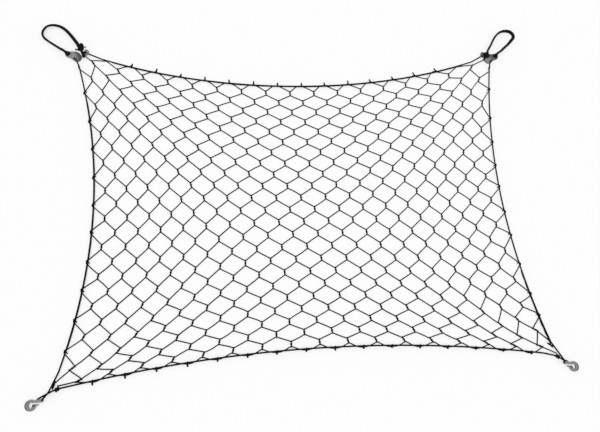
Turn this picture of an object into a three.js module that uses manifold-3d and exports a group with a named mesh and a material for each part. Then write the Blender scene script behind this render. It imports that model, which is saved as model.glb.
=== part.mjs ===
// Car dog barrier net: one panel of knotless six-sided mesh on a black border cord, with a hard
// toggle and an elastic loop at each top corner and an open ring hook at each bottom corner.
// Millimetres, +X along the net's width, +Y towards its top edge, +Z up. Everything is laid out
// round the middle of the rectangle between the four corners, flat on the surface z = 0, and the
// whole group is moved at the end so that its origin is under the middle of the part.
import * as THREE from 'three';
import { mergeVertices } from 'three/addons/utils/BufferGeometryUtils.js';
import Module from 'manifold-3d';

const wasm = await Module();
wasm.setup();

// ---------- Driving dimensions ----------

const GAP = 0.3; // between neighbouring pieces

// The four edges of the panel, each a parabola bowed inward by its cord's pull. Skew leans its
// deepest point towards the edge's end, and fullness deepens its two shoulders.
const EDGES = {
  top: { from: [-490, 381], to: [490, 378.5], inward: [0, -1], bow: 90, skew: 0, fullness: 0.09 },
  bottom: { from: [-494, -387], to: [496, -377], inward: [0, 1], bow: 45.6, skew: 0, fullness: 0 },
  left: { from: [-512, 372], to: [-495.5, -387], inward: [1, 0], bow: 56, skew: 0.08, fullness: 0 },
  right: { from: [506.5, 372], to: [490, -381], inward: [-1, 0], bow: 47.9, skew: 0.08, fullness: 0 },
};

// Netting: rows of joints, where two yarns are plaited together, with thin legs between them.
const ROWS = 24;
const COLUMNS = 17;
const NET_THICKNESS = 2;
const LEG = { rest: 29.7, pull: 1, halfWidth: 1.1 };
const JOINT = { rest: 11.7, pull: 1.2, halfWidth: 1.5 };
const SETTLING_STEPS = 450;
const DRIFT = { x: -0.005, y: -0.06, growth: -0.028 }; // how far the slack is pulled down the panel

// Cut mesh ends that stand past the border cord along the top and the bottom. The outermost top
// meshes are cut off at the cord.
const TOP_NUBS = { firstX: -444, pitch: 57.3, lean: [0.35, 0.94], length: 11.5, bare: 1 };
const BOTTOM_NUBS = { firstX: -424.5, pitch: 57.37, lean: [0, -1], length: 7, bare: 0 };

// Heights of the joints that the two side cords thread, from the top corner down.
const SIDE_JOINTS = [
  { left: 343, right: 343 },
  { left: 272, right: 281 },
  { left: 195, right: 196 },
  { left: 123, right: 129 },
  { left: 52, right: 66 },
  { left: -13, right: 10 },
  { left: -75, right: -53 },
  { left: -140, right: -110 },
  { left: -199, right: -178 },
  { left: -259, right: -245 },
  { left: -318, right: -292 },
  { left: -378, right: -353 },
];

// Where the thin leg from each corner of the netting is tied, and how long and tight that leg is.
const CORNER_TIES = {
  topLeft: { at: [-490.8, 374.8], rest: 12.5, pull: 4 },
  topRight: { at: [490, 372.5], rest: 29, pull: 4 },
  bottomLeft: { at: [-487.5, -379.4], rest: 29.7, pull: 1 },
  bottomRight: { at: [490.5, -373], rest: 29.7, pull: 4 },
};

const CORD = { radius: 1.6, sides: 8, bend: 2.6 };
const CORD_LEVEL = NET_THICKNESS + GAP + CORD.radius; // height of the border cord's middle

// Open ring hook: a ring with an oval eye, a narrow mouth and a shank. The shank is a plate over a
// hollow: the side cord comes down its hole, turns round in the hollow and leaves under its edge.
const HOOK = {
  height: 6.4,
  outerRadius: 10.3,
  eye: { x: 3, y: 5.4 },
  mouth: { low: 1.3, high: 3.4 },
  tip: { x: 14.3, low: -0.9 },
  shank: { end: 22.8, top: 9.8, dip: [9, 8.2], dipFrom: 14, ringAngle: 58 },
  hollow: { fromX: 7.7, height: 4.5 },
  hole: { at: [19.9, 6.5], radius: 2.1 },
  turn: { x: 10.2, low: 5.4, high: 9.8, radius: 2.1 },
  bevel: 0.5,
};
const HOOK_PLACES = {
  left: { centre: [-529.9, -411.2], turn: 1.5, side: 1, crossing: [31, 20] },
  right: { centre: [518.8, -401], turn: -5, side: -1, crossing: [22.6, 14.1] },
};

// Toggle: a flared body with a cord hole near its lower edge and a thin lug for the loop.
const TOGGLE = {
  height: 8,
  lugHeight: 5,
  lugFrom: 18.5,
  bevel: 1.2,
  holeRadius: 2.1,
  hole: [-4.8, 1.5],
  overEdge: [0.5, -6.5], // where the cord has passed over the lower edge
};
const TOGGLE_PLACES = {
  left: { tip: [-511, 365], turn: 0, side: 1 },
  right: { tip: [503, 366], turn: 0, side: -1 },
};

// Small eye for the end of the top cord: it lies on the cord, which turns up through its hole and
// leaves at the given drop below the eye's middle.
const EYE = { half: [6, 8.5], hole: [2.7, 4.2], low: 4.7, height: 3.6, bevel: 0.6 };
const EYE_PLACES = {
  left: { centre: [-490, 384.8], turn: 12, side: 1, drop: 3.6 },
  right: { centre: [489.8, 386.3], turn: -12, side: -1, drop: 5.5 },
};

// Knots, as the outer forms of the pulled-tight turns. A loop's knot has a tail beside its toggle.
const LOOP_KNOTS = {
  left: {
    centre: [-503.8, 397.7, 8.6], half: [7.6, 11.5, 7.2], turn: 8,
    tail: { from: [-501, 388, 9], to: [-494.5, 370, 6], radius: 3.2 },
  },
  right: {
    centre: [498.2, 382.7, 8.6], half: [8.5, 8.5, 7.5], turn: 0,
    tail: { from: [494, 379, 8], to: [489.3, 370.3, 5], radius: 2.2 },
  },
};
const END_KNOTS = {
  left: { centre: [-532.6, 380.6, 8], half: [7.5, 6, 5], turn: -20 },
  right: { centre: [522, 381.9, 8], half: [6.5, 6.5, 5], turn: 20 },
};
const CORNER_KNOTS = {
  left: { at: [-486, -385.5], angle: 15 },
  right: { at: [489.4, -379.5], angle: -24 },
};
const CORNER_KNOT = { boreRadius: 2.1, outerRadius: 3.8, length: 7, reach: 4.5 };

// Flat elastic of the two loops, and the route of each from the big knot round to the end knot.
const ELASTIC = { width: 8, thickness: 4.8, sides: 10, steps: 28 };
const LOOP_ROUTES = {
  left: [
    [-508.5, 401, 8.4], [-511.5, 408, 7], [-516.5, 417, 4.5], [-525, 430, 2.8], [-535, 443.5, 2.7],
    [-546, 456, 2.7], [-559, 465, 2.7], [-574, 468.5, 2.7], [-587, 464.5, 2.7], [-594.5, 453, 2.7],
    [-596, 441, 2.7], [-590.5, 429, 2.7], [-577.5, 417, 2.7], [-562.5, 405.5, 3], [-550.5, 396.5, 4.7],
    [-544, 391, 7.2], [-536, 383.5, 8.2],
  ],
  right: [
    [499.5, 387.3, 11], [505, 397, 8.2], [510, 405.5, 5], [516.5, 415, 3.2], [524.5, 427.5, 2.7],
    [533, 441.5, 2.7], [542.5, 453.5, 2.7], [555, 463.5, 2.7], [569.5, 467.5, 2.7], [582, 464, 2.7],
    [588.5, 454.5, 2.7], [587, 445, 2.7], [578.5, 435, 2.7], [567, 422.5, 2.7], [555.5, 412.5, 3],
    [545, 402.5, 4.6], [535, 394.5, 7.2], [525, 386, 8.2],
  ],
};

const BLACK_YARN = new THREE.MeshStandardMaterial({ color: 0x17171a, roughness: 0.85 });
const BLACK_CORD = new THREE.MeshStandardMaterial({ color: 0x141417, roughness: 0.75 });
const BLACK_ELASTIC = new THREE.MeshStandardMaterial({ color: 0x111113, roughness: 0.6 });
const GREY_NYLON = new THREE.MeshStandardMaterial({ color: 0x8a8a8d, roughness: 0.45 });

// ---------- Helpers ----------

function piece(name, geometry, material) {
  const mesh = new THREE.Mesh(geometry, material);
  mesh.name = name;
  return mesh;
}

// Point of an edge at t from 0 to 1.
function edgePoint(edge, t) {
  const arch = 4 * t * (1 - t);
  const bow = arch * edge.bow * (1 + edge.skew * (2 * t - 1) + edge.fullness * (1 - arch));
  return new THREE.Vector2(
    THREE.MathUtils.lerp(edge.from[0], edge.to[0], t) + edge.inward[0] * bow,
    THREE.MathUtils.lerp(edge.from[1], edge.to[1], t) + edge.inward[1] * bow,
  );
}

function edgeDirection(edge, t) {
  const step = 0.001;
  return edgePoint(edge, t + step).sub(edgePoint(edge, t - step)).normalize();
}

// The t at which an edge passes a given x (top, bottom) or y (left, right).
function edgeTime(edge, value) {
  const axis = edge.inward[0] === 0 ? 0 : 1;
  return (value - edge.from[axis]) / (edge.to[axis] - edge.from[axis]);
}

// A polyline of 3-D points used as an extrusion path, with one step at each of its points.
class StationPath extends THREE.Curve {
  constructor(points, level = false) {
    super();
    this.points = points;
    this.level = level;
  }

  getPoint(t, target = new THREE.Vector3()) {
    const last = this.points.length - 1;
    const place = THREE.MathUtils.clamp(t, 0, 1) * last;
    const index = Math.min(Math.floor(place), last - 1);
    return target.lerpVectors(this.points[index], this.points[index + 1], place - index);
  }

  getUtoTmapping(u) {
    return u;
  }

  // A level path keeps the section's first axis horizontal, so that a flat strand lies flat.
  computeFrenetFrames(segments, closed) {
    if (!this.level) {
      return super.computeFrenetFrames(segments, closed);
    }
    const up = new THREE.Vector3(0, 0, 1);
    const frames = { tangents: [], normals: [], binormals: [] };
    for (let i = 0; i <= segments; i += 1) {
      const tangent = this.getTangentAt(i / segments);
      const across = new THREE.Vector3().crossVectors(up, tangent).normalize();
      frames.tangents.push(tangent);
      frames.normals.push(across);
      frames.binormals.push(new THREE.Vector3().crossVectors(tangent, across));
    }
    return frames;
  }
}

// A round or oval strand along a list of points.
function strandGeometry(points, halfWidth, halfHeight, sides, level = false) {
  const section = new THREE.Shape();
  for (let i = 0; i < sides; i += 1) {
    const angle = ((i + 0.5) * 2 * Math.PI) / sides;
    const corner = [halfWidth * Math.cos(angle), halfHeight * Math.sin(angle)];
    if (i === 0) {
      section.moveTo(...corner);
    } else {
      section.lineTo(...corner);
    }
  }
  return new THREE.ExtrudeGeometry(section, {
    steps: points.length - 1,
    extrudePath: new StationPath(points, level),
    curveSegments: 1,
  });
}

// A polyline whose inner corners are turned on arcs of the given radius.
function rounded(corners, radius, arcSteps = 4) {
  const points = [corners[0]];
  for (let i = 1; i < corners.length - 1; i += 1) {
    const into = corners[i].clone().sub(corners[i - 1]).normalize();
    const out = corners[i + 1].clone().sub(corners[i]).normalize();
    const angle = into.angleTo(out);
    const inside = out.clone().addScaledVector(into, -Math.cos(angle)).normalize();
    const start = corners[i].clone().addScaledVector(into, -radius * Math.tan(angle / 2));
    const centre = start.clone().addScaledVector(inside, radius);
    for (let step = 0; step <= arcSteps; step += 1) {
      const turned = (angle * step) / arcSteps;
      points.push(
        centre.clone()
          .addScaledVector(inside, -radius * Math.cos(turned))
          .addScaledVector(into, radius * Math.sin(turned)),
      );
    }
  }
  points.push(corners[corners.length - 1]);
  return points;
}

function toSolid(geometry) {
  const bare = geometry.clone();
  bare.deleteAttribute('normal');
  bare.deleteAttribute('uv');
  const merged = mergeVertices(bare, 1e-3);
  return new wasm.Manifold(new wasm.Mesh({
    numProp: 3,
    vertProperties: new Float32Array(merged.attributes.position.array),
    triVerts: new Uint32Array(merged.index.array),
  }));
}

function fromSolid(solid) {
  const mesh = solid.getMesh();
  const geometry = new THREE.BufferGeometry();
  geometry.setAttribute('position', new THREE.BufferAttribute(mesh.vertProperties, 3));
  geometry.setIndex(new THREE.BufferAttribute(mesh.triVerts, 1));
  geometry.computeVertexNormals();
  return geometry;
}

// A plate cut to an outline, its rims eased, standing on the height `low`. The outline is mirrored
// for a piece of the right side, and `margin` swells it on every face.
function plateGeometry(outline, { low = 0, height, bevel, side = 1, margin = 0, curveSegments = 10 }) {
  const cleaned = (path) => path.getPoints(curveSegments)
    .filter((p, i, all) => p.distanceTo(all[(i + 1) % all.length]) > 1e-3)
    .map((p) => new THREE.Vector2(p.x * side, p.y));
  const shape = new THREE.Shape(cleaned(outline));
  shape.holes = outline.holes.map((hole) => new THREE.Path(cleaned(hole)));
  const geometry = new THREE.ExtrudeGeometry(shape, {
    depth: height - 2 * bevel + 2 * margin,
    bevelThickness: bevel,
    bevelSize: bevel,
    bevelOffset: margin - bevel,
    bevelSegments: 1,
    steps: 1,
  });
  geometry.translate(0, 0, low + bevel - margin);
  return geometry;
}

function boxGeometry(min, max) {
  const size = max.map((value, axis) => value - min[axis]);
  const geometry = new THREE.BoxGeometry(...size);
  geometry.translate(...min.map((value, axis) => value + size[axis] / 2));
  return geometry;
}

// An upright cylinder for a cord hole.
function boreGeometry(x, y, radius, low, high) {
  const geometry = new THREE.CylinderGeometry(radius, radius, high - low, 12);
  geometry.rotateX(Math.PI / 2);
  geometry.translate(x, y, (low + high) / 2);
  return geometry;
}

// Turns a piece about its own origin and moves it to its place in the plane.
function placed(geometry, [x, y], turn) {
  geometry.rotateZ(THREE.MathUtils.degToRad(turn));
  geometry.translate(x, y, 0);
  return geometry;
}

// A point given in a placed piece's own plane, as a 3-D point of the net.
function placedPoint(place, origin, [x, y], z) {
  const point = new THREE.Vector2(x * place.side, y);
  point.rotateAround(new THREE.Vector2(), THREE.MathUtils.degToRad(place.turn));
  return new THREE.Vector3(point.x + origin[0], point.y + origin[1], z);
}

// ---------- Netting ----------

// Nodes are the two ends of each joint. `half` counts half meshes from the left edge: odd rows sit
// half a mesh to the side, and their outermost joints lie along the side cords.
function nettingFrame() {
  const nodes = new Map();
  const strands = [];
  const name = (row, half, end) => `${row}_${half}_${end}`;
  const lastHalf = 2 * COLUMNS + 1;

  const addNode = (key, at, held, row) => {
    nodes.set(key, { at: at.clone(), held, row, speed: new THREE.Vector2(), pull: 0 });
  };
  const tie = (from, to, kind) => {
    const a = nodes.get(from);
    const b = nodes.get(to);
    strands.push({ a, b, ...kind });
    a.pull += kind.pull;
    b.pull += kind.pull;
  };

  for (let k = 1; k < COLUMNS; k += 1) {
    const topTime = edgeTime(EDGES.top, TOP_NUBS.firstX + (k - 1) * TOP_NUBS.pitch);
    const bottomTime = edgeTime(EDGES.bottom, BOTTOM_NUBS.firstX + (k - 1) * BOTTOM_NUBS.pitch);
    addNode(name(0, 2 * k, 'lower'), edgePoint(EDGES.top, topTime), true, 0);
    addNode(name(ROWS, 2 * k, 'upper'), edgePoint(EDGES.bottom, bottomTime), true, ROWS);
  }
  SIDE_JOINTS.forEach((heights, index) => {
    const row = 2 * index + 1;
    for (const [edge, height, half] of [
      [EDGES.left, heights.left, -1],
      [EDGES.right, heights.right, lastHalf],
    ]) {
      const t = edgeTime(edge, height);
      const along = edgeDirection(edge, t).multiplyScalar(JOINT.rest / 2);
      addNode(name(row, half, 'upper'), edgePoint(edge, t).sub(along), true, row);
      addNode(name(row, half, 'lower'), edgePoint(edge, t).add(along), true, row);
    }
  });
  for (let row = 1; row < ROWS; row += 1) {
    const down = row / ROWS;
    for (let half = row % 2; half < lastHalf; half += 2) {
      const along = (half + 1) / (lastHalf + 1);
      const x = THREE.MathUtils.lerp(edgePoint(EDGES.left, down).x, edgePoint(EDGES.right, down).x, along);
      const y = THREE.MathUtils.lerp(edgePoint(EDGES.top, along).y, edgePoint(EDGES.bottom, along).y, down);
      addNode(name(row, half, 'upper'), new THREE.Vector2(x, y + JOINT.rest / 2), false, row);
      addNode(name(row, half, 'lower'), new THREE.Vector2(x, y - JOINT.rest / 2), false, row);
    }
  }
  for (const [key, { at }] of Object.entries(CORNER_TIES)) {
    addNode(key, new THREE.Vector2(...at), true, 0);
  }

  for (let row = 0; row <= ROWS; row += 1) {
    for (let half = -1; half <= lastHalf; half += 1) {
      const lower = name(row, half, 'lower');
      if (nodes.has(name(row, half, 'upper')) && nodes.has(lower)) {
        tie(name(row, half, 'upper'), lower, JOINT);
      }
      for (const next of [half - 1, half + 1]) {
        if (nodes.has(lower) && nodes.has(name(row + 1, next, 'upper'))) {
          tie(lower, name(row + 1, next, 'upper'), LEG);
        }
      }
    }
  }
  for (const [key, joint] of [
    ['topLeft', name(1, 1, 'upper')],
    ['topRight', name(1, lastHalf - 2, 'upper')],
    ['bottomLeft', name(ROWS - 1, 1, 'lower')],
    ['bottomRight', name(ROWS - 1, lastHalf - 2, 'lower')],
  ]) {
    const { rest, pull } = CORNER_TIES[key];
    tie(joint, key, { ...LEG, rest, pull });
  }
  return { nodes, strands, name };
}

// Lets the strands pull the free nodes to rest between the threaded ones.
function settle({ nodes, strands }) {
  const free = [...nodes.values()].filter((node) => !node.held);
  const force = new Map();
  for (let step = 0; step < SETTLING_STEPS; step += 1) {
    for (const node of nodes.values()) {
      force.set(node, new THREE.Vector2(DRIFT.x, DRIFT.y + DRIFT.growth * (node.row / ROWS - 0.5)));
    }
    for (const { a, b, rest, pull } of strands) {
      const reach = b.at.clone().sub(a.at);
      const length = reach.length();
      reach.multiplyScalar((pull * (length - rest)) / length);
      force.get(a).add(reach);
      force.get(b).sub(reach);
    }
    for (const node of free) {
      node.speed.multiplyScalar(0.97).addScaledVector(force.get(node), 0.25 / node.pull);
      node.at.add(node.speed);
    }
  }
}

// The cut ends past the top and bottom cords.
function addNubs({ nodes, strands, name }) {
  for (let k = 1; k < COLUMNS; k += 1) {
    for (const [key, nub] of [
      [name(0, 2 * k, 'lower'), TOP_NUBS],
      [name(ROWS, 2 * k, 'upper'), BOTTOM_NUBS],
    ]) {
      if (k <= nub.bare || k >= COLUMNS - nub.bare) {
        continue;
      }
      const root = nodes.get(key);
      const end = { at: root.at.clone().addScaledVector(new THREE.Vector2(...nub.lean), nub.length) };
      nodes.set(`${key}_nub`, end);
      strands.push({ a: root, b: end, ...JOINT });
    }
  }
}

// One closed lattice: each strand has a flat underside and two slopes up to a ridge, and the
// strands that meet at a node share the corners between them.
function latticeGeometry(strands, height) {
  const positions = [];
  const index = [];
  const addVertex = (x, y, z) => positions.push(x, y, z) / 3 - 1;
  const ends = new Map(); // node -> its strand ends

  const addEnd = (node, other, halfWidth) => {
    const direction = other.at.clone().sub(node.at).normalize();
    const end = { direction, halfWidth, angle: direction.angle() };
    ends.set(node, [...(ends.get(node) ?? []), end]);
    return end;
  };
  const pairs = strands.map(({ a, b, halfWidth }) => [addEnd(a, b, halfWidth), addEnd(b, a, halfWidth)]);

  for (const [node, around] of ends) {
    around.sort((p, q) => p.angle - q.angle);
    const ridge = addVertex(node.at.x, node.at.y, height);
    around.forEach((end, i) => {
      const next = around[(i + 1) % around.length];
      end.ridge = ridge;
      if (around.length === 1) {
        const across = new THREE.Vector2(-end.direction.y, end.direction.x).multiplyScalar(end.halfWidth);
        end.left = addVertex(node.at.x + across.x, node.at.y + across.y, 0);
        end.right = addVertex(node.at.x - across.x, node.at.y - across.y, 0);
        index.push(end.left, end.right, ridge);
        return;
      }
      const corner = cornerBetween(end, next).add(node.at);
      end.left = addVertex(corner.x, corner.y, 0);
      next.right = end.left;
    });
    for (let i = 1; i < around.length - 1; i += 1) {
      index.push(around[0].left, around[i + 1].left, around[i].left);
    }
  }
  for (const [a, b] of pairs) {
    index.push(a.right, a.left, b.right, a.right, b.right, b.left); // underside
    index.push(a.left, a.ridge, b.ridge, a.left, b.ridge, b.right); // left slope
    index.push(a.right, b.left, b.ridge, a.right, b.ridge, a.ridge); // right slope
  }

  const geometry = new THREE.BufferGeometry();
  geometry.setAttribute('position', new THREE.Float32BufferAttribute(positions, 3));
  geometry.setIndex(index);
  geometry.computeVertexNormals();
  return geometry;
}

// Where the left side of one strand meets the right side of the next one round the node.
function cornerBetween(end, next) {
  const sine = end.direction.cross(next.direction);
  if (Math.abs(sine) < 0.05) {
    const across = new THREE.Vector2(-end.direction.y, end.direction.x);
    return across.multiplyScalar((end.halfWidth + next.halfWidth) / 2);
  }
  return end.direction.clone().multiplyScalar(next.halfWidth / sine)
    .addScaledVector(next.direction, end.halfWidth / sine);
}

function nettingPiece() {
  const frame = nettingFrame();
  settle(frame);
  addNubs(frame);
  return piece('netting', latticeGeometry(frame.strands, NET_THICKNESS), BLACK_YARN);
}

// ---------- Ring hooks ----------

// Outline of the hook round the middle of its ring, its shank towards +X.
function hookOutline() {
  const { outerRadius, eye, mouth, tip, shank } = HOOK;
  const lowAngle = Math.asin(mouth.low / eye.y);
  const highAngle = Math.asin(mouth.high / eye.y);
  const ringStart = THREE.MathUtils.degToRad(shank.ringAngle);
  const ringEnd = -0.14;
  const ringPoint = (angle) => [outerRadius * Math.cos(angle), outerRadius * Math.sin(angle)];
  const tipRadius = (mouth.low - tip.low) / 2;
  const outline = new THREE.Shape();
  outline.moveTo(shank.end - 1.8, shank.top);
  outline.lineTo(shank.dipFrom, shank.top);
  outline.quadraticCurveTo(...shank.dip, ...ringPoint(ringStart));
  outline.absarc(0, 0, outerRadius, ringStart, 2 * Math.PI + ringEnd, false);
  outline.absarc(tip.x - tipRadius, tip.low + tipRadius, tipRadius, -Math.PI / 2, Math.PI / 2, false);
  outline.lineTo(eye.x * Math.cos(lowAngle), mouth.low);
  outline.absellipse(0, 0, eye.x, eye.y, lowAngle, highAngle - 2 * Math.PI, true);
  outline.lineTo(shank.end - 1.5, mouth.high);
  outline.quadraticCurveTo(shank.end, mouth.high, shank.end, mouth.high + 1.5);
  outline.lineTo(shank.end, shank.top - 1.8);
  outline.quadraticCurveTo(shank.end, shank.top, shank.end - 1.8, shank.top);
  return outline;
}

function hookPiece(name, place) {
  const { height, bevel, hollow, hole, mouth, shank } = HOOK;
  const blank = plateGeometry(hookOutline(), { height, bevel, side: place.side });
  const hollowX = [hollow.fromX, shank.end + 1].map((x) => x * place.side).sort((a, b) => a - b);
  const under = boxGeometry(
    [hollowX[0], mouth.high - 1, -1],
    [hollowX[1], shank.top + 1, hollow.height],
  );
  const bore = boreGeometry(hole.at[0] * place.side, hole.at[1], hole.radius, -1, height + 1);
  const solid = toSolid(blank).subtract(toSolid(under)).subtract(toSolid(bore));
  return piece(name, placed(fromSolid(solid), place.centre, place.turn), GREY_NYLON);
}

// The side cord's way through a hook, from the side strand to the bottom strand.
function hookThread(place) {
  const over = HOOK.height + GAP + CORD.radius;
  const under = HOOK.hollow.height - GAP - CORD.radius;
  const at = ([x, y], z) => placedPoint(place, place.centre, [x, y], z);
  const { hole, turn } = HOOK;
  const down = rounded([at(place.crossing, over), at(hole.at, over), at(hole.at, under)], CORD.bend);
  const back = rounded([
    at(hole.at, under),
    at([turn.x, turn.low], under),
    at([turn.x, turn.high], under),
    at(place.crossing, under),
  ], turn.radius);
  return { down, back };
}

// ---------- Toggles and eyes ----------

// Outline round the lower tip, its lug towards -X: a hollow lower edge, a half-round lug end and a
// cut-off corner under the big knot.
function toggleOutline() {
  const outline = new THREE.Shape();
  outline.moveTo(1.5, -4);
  outline.quadraticCurveTo(-4.5, -4, -10.2, 2.3);
  outline.quadraticCurveTo(-16.2, 8.6, -23.1, 9.7);
  outline.absarc(-22, 15.8, 6.2, -1.75, -Math.PI * 1.5, true);
  outline.lineTo(-2, 23);
  outline.lineTo(6, 18);
  outline.lineTo(10.8, 9.5);
  outline.quadraticCurveTo(9.5, -2.5, 1.5, -4);
  return outline;
}

function toggleSolid(place, margin) {
  const { height, lugHeight, lugFrom, bevel } = TOGGLE;
  const blank = plateGeometry(toggleOutline(), { height, bevel, side: place.side, margin });
  const step = boxGeometry([-40, 0, lugHeight + margin], [-lugFrom - margin, 30, height + 2]);
  if (place.side < 0) {
    step.translate(40 + lugFrom + margin, 0, 0);
  }
  return { blank, step };
}

function togglePiece(name, place) {
  const { blank, step } = toggleSolid(place, 0);
  const [holeX, holeY] = TOGGLE.hole;
  const bore = boreGeometry(holeX * place.side, holeY, TOGGLE.holeRadius, -1, TOGGLE.height + 1);
  const solid = toSolid(blank).subtract(toSolid(step)).subtract(toSolid(bore));
  return piece(name, placed(fromSolid(solid), place.tip, place.turn), GREY_NYLON);
}

function eyeOutline() {
  const outline = new THREE.Shape();
  outline.absellipse(0, 0, ...EYE.half, 0, 2 * Math.PI);
  const hole = new THREE.Path();
  hole.absellipse(0, 0, ...EYE.hole, 0, 2 * Math.PI);
  outline.holes.push(hole);
  return outline;
}

function eyeGeometry(place, margin) {
  const { low, height, bevel } = EYE;
  const plate = plateGeometry(eyeOutline(), { low, height, bevel, margin, curveSegments: 8 });
  return placed(plate, place.centre, place.turn);
}

function eyePiece(name, place) {
  return piece(name, fromSolid(toSolid(eyeGeometry(place, 0))), GREY_NYLON);
}

// ---------- Knots and loops ----------

function knotGeometry({ centre, half, turn }) {
  const geometry = new THREE.SphereGeometry(1, 14, 10);
  geometry.rotateX(Math.PI / 2);
  geometry.scale(...half);
  geometry.rotateZ(THREE.MathUtils.degToRad(turn));
  geometry.translate(...centre);
  return geometry;
}

// A round-ended rope end between two points.
function tailGeometry({ from, to, radius }) {
  const start = new THREE.Vector3(...from);
  const reach = new THREE.Vector3(...to).sub(start);
  const geometry = new THREE.CapsuleGeometry(radius, reach.length(), 3, 10);
  geometry.applyQuaternion(
    new THREE.Quaternion().setFromUnitVectors(new THREE.Vector3(0, 1, 0), reach.clone().normalize()),
  );
  geometry.translate(...start.addScaledVector(reach, 0.5).toArray());
  return geometry;
}

// A knot pressed on its toggle, eye and cord: its form less what those pieces take, each swollen
// by the gap.
function pressedKnotPiece(name, knot, side, extra) {
  const place = TOGGLE_PLACES[side];
  const { blank, step } = toggleSolid(place, GAP);
  const toggle = toSolid(blank).subtract(toSolid(step));
  const turned = toSolid(placed(fromSolid(toggle), place.tip, place.turn));
  let solid = toSolid(knotGeometry(knot));
  if (knot.tail) {
    solid = solid.add(toSolid(tailGeometry(knot.tail)));
  }
  solid = solid.subtract(turned);
  for (const geometry of extra) {
    solid = solid.subtract(toSolid(geometry));
  }
  return piece(name, fromSolid(solid), BLACK_CORD);
}

// A short lashing round the bottom cord.
function cornerKnotPiece(name, { at, angle }) {
  const { boreRadius, outerRadius, length } = CORNER_KNOT;
  const half = length / 2;
  const profile = [
    [boreRadius, -half], [outerRadius - 1, -half], [outerRadius, 1 - half],
    [outerRadius, half - 1], [outerRadius - 1, half], [boreRadius, half], [boreRadius, -half],
  ];
  const geometry = new THREE.LatheGeometry(profile.map(([r, y]) => new THREE.Vector2(r, y)), 12);
  geometry.rotateZ(THREE.MathUtils.degToRad(angle - 90));
  geometry.translate(...at, CORD_LEVEL);
  return piece(name, geometry, BLACK_CORD);
}

function loopGeometry(side, margin) {
  const { width, thickness, sides, steps } = ELASTIC;
  const route = new THREE.CatmullRomCurve3(LOOP_ROUTES[side].map((p) => new THREE.Vector3(...p)));
  const points = route.getSpacedPoints(steps);
  points[0].addScaledVector(route.getTangent(0), -margin);
  points[steps].addScaledVector(route.getTangent(1), margin);
  return strandGeometry(points, width / 2 + margin, thickness / 2 + margin, sides, true);
}

function loopPiece(name, side) {
  return piece(name, loopGeometry(side, 0), BLACK_ELASTIC);
}

// ---------- Border cords ----------

function edgeStations(edge, firstTime, lastTime, count) {
  const points = [];
  for (let i = 0; i <= count; i += 1) {
    const at = edgePoint(edge, THREE.MathUtils.lerp(firstTime, lastTime, i / count));
    points.push(new THREE.Vector3(at.x, at.y, CORD_LEVEL));
  }
  return points;
}

// Top cord: up through one eye, along the top edge and up through the other.
function topCordPoints() {
  const under = EYE.low - GAP - CORD.radius;
  const top = EYE.low + EYE.height - 0.4;
  const end = (place, edgeX) => {
    const [x, y] = place.centre;
    const joinAt = edgePoint(EDGES.top, edgeTime(EDGES.top, edgeX));
    const out = place.side * (EYE.half[0] + 3);
    return rounded([
      new THREE.Vector3(x, y, top),
      new THREE.Vector3(x, y, under),
      new THREE.Vector3(x + out, y - place.drop, under),
      new THREE.Vector3(joinAt.x, joinAt.y, CORD_LEVEL),
    ], CORD.bend);
  };
  const span = edgeStations(EDGES.top, edgeTime(EDGES.top, -440), edgeTime(EDGES.top, 440), 18);
  return [
    ...end(EYE_PLACES.left, -456),
    ...span,
    ...end(EYE_PLACES.right, 456).reverse(),
  ];
}

// Side cord: out of one toggle, down the side, through the hook and the corner knot, along the
// bottom, and the same way up to the other toggle.
function sideCordPoints() {
  const start = (place, edge, edgeY) => {
    const over = TOGGLE.height + GAP + CORD.radius;
    const joinAt = edgePoint(edge, edgeTime(edge, edgeY));
    return rounded([
      placedPoint(place, place.tip, TOGGLE.hole, 3),
      placedPoint(place, place.tip, TOGGLE.hole, over),
      placedPoint(place, place.tip, TOGGLE.overEdge, over),
      new THREE.Vector3(joinAt.x, joinAt.y, CORD_LEVEL),
    ], CORD.bend);
  };
  const side = (edge, fromY, toY) => (
    edgeStations(edge, edgeTime(edge, fromY), edgeTime(edge, toY), 16)
  );
  // Down into a hook, round in its hollow, and straight through the corner knot.
  const corner = (place, knot) => {
    const { down, back } = hookThread(place);
    const along = new THREE.Vector2(place.side, 0)
      .rotateAround(new THREE.Vector2(), THREE.MathUtils.degToRad(knot.angle));
    const through = [-CORNER_KNOT.reach, CORNER_KNOT.reach].map((reach) => new THREE.Vector3(
      knot.at[0] + along.x * reach,
      knot.at[1] + along.y * reach,
      CORD_LEVEL,
    ));
    const bottomTurn = rounded([down[down.length - 2], down[down.length - 1], back[1]], CORD.bend);
    return [...down.slice(0, -1), ...bottomTurn.slice(1, -1), ...back.slice(1), ...through];
  };
  const bottom = edgeStations(EDGES.bottom, edgeTime(EDGES.bottom, -462), edgeTime(EDGES.bottom, 462), 18);
  return [
    ...start(TOGGLE_PLACES.left, EDGES.left, 348),
    ...side(EDGES.left, 335, -355),
    ...corner(HOOK_PLACES.left, CORNER_KNOTS.left),
    ...bottom,
    ...corner(HOOK_PLACES.right, CORNER_KNOTS.right).reverse(),
    ...side(EDGES.right, -350, 335),
    ...start(TOGGLE_PLACES.right, EDGES.right, 348).reverse(),
  ];
}

function cordGeometry(points, radius) {
  return strandGeometry(points, radius, radius, CORD.sides);
}

// ---------- Assembly ----------

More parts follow.
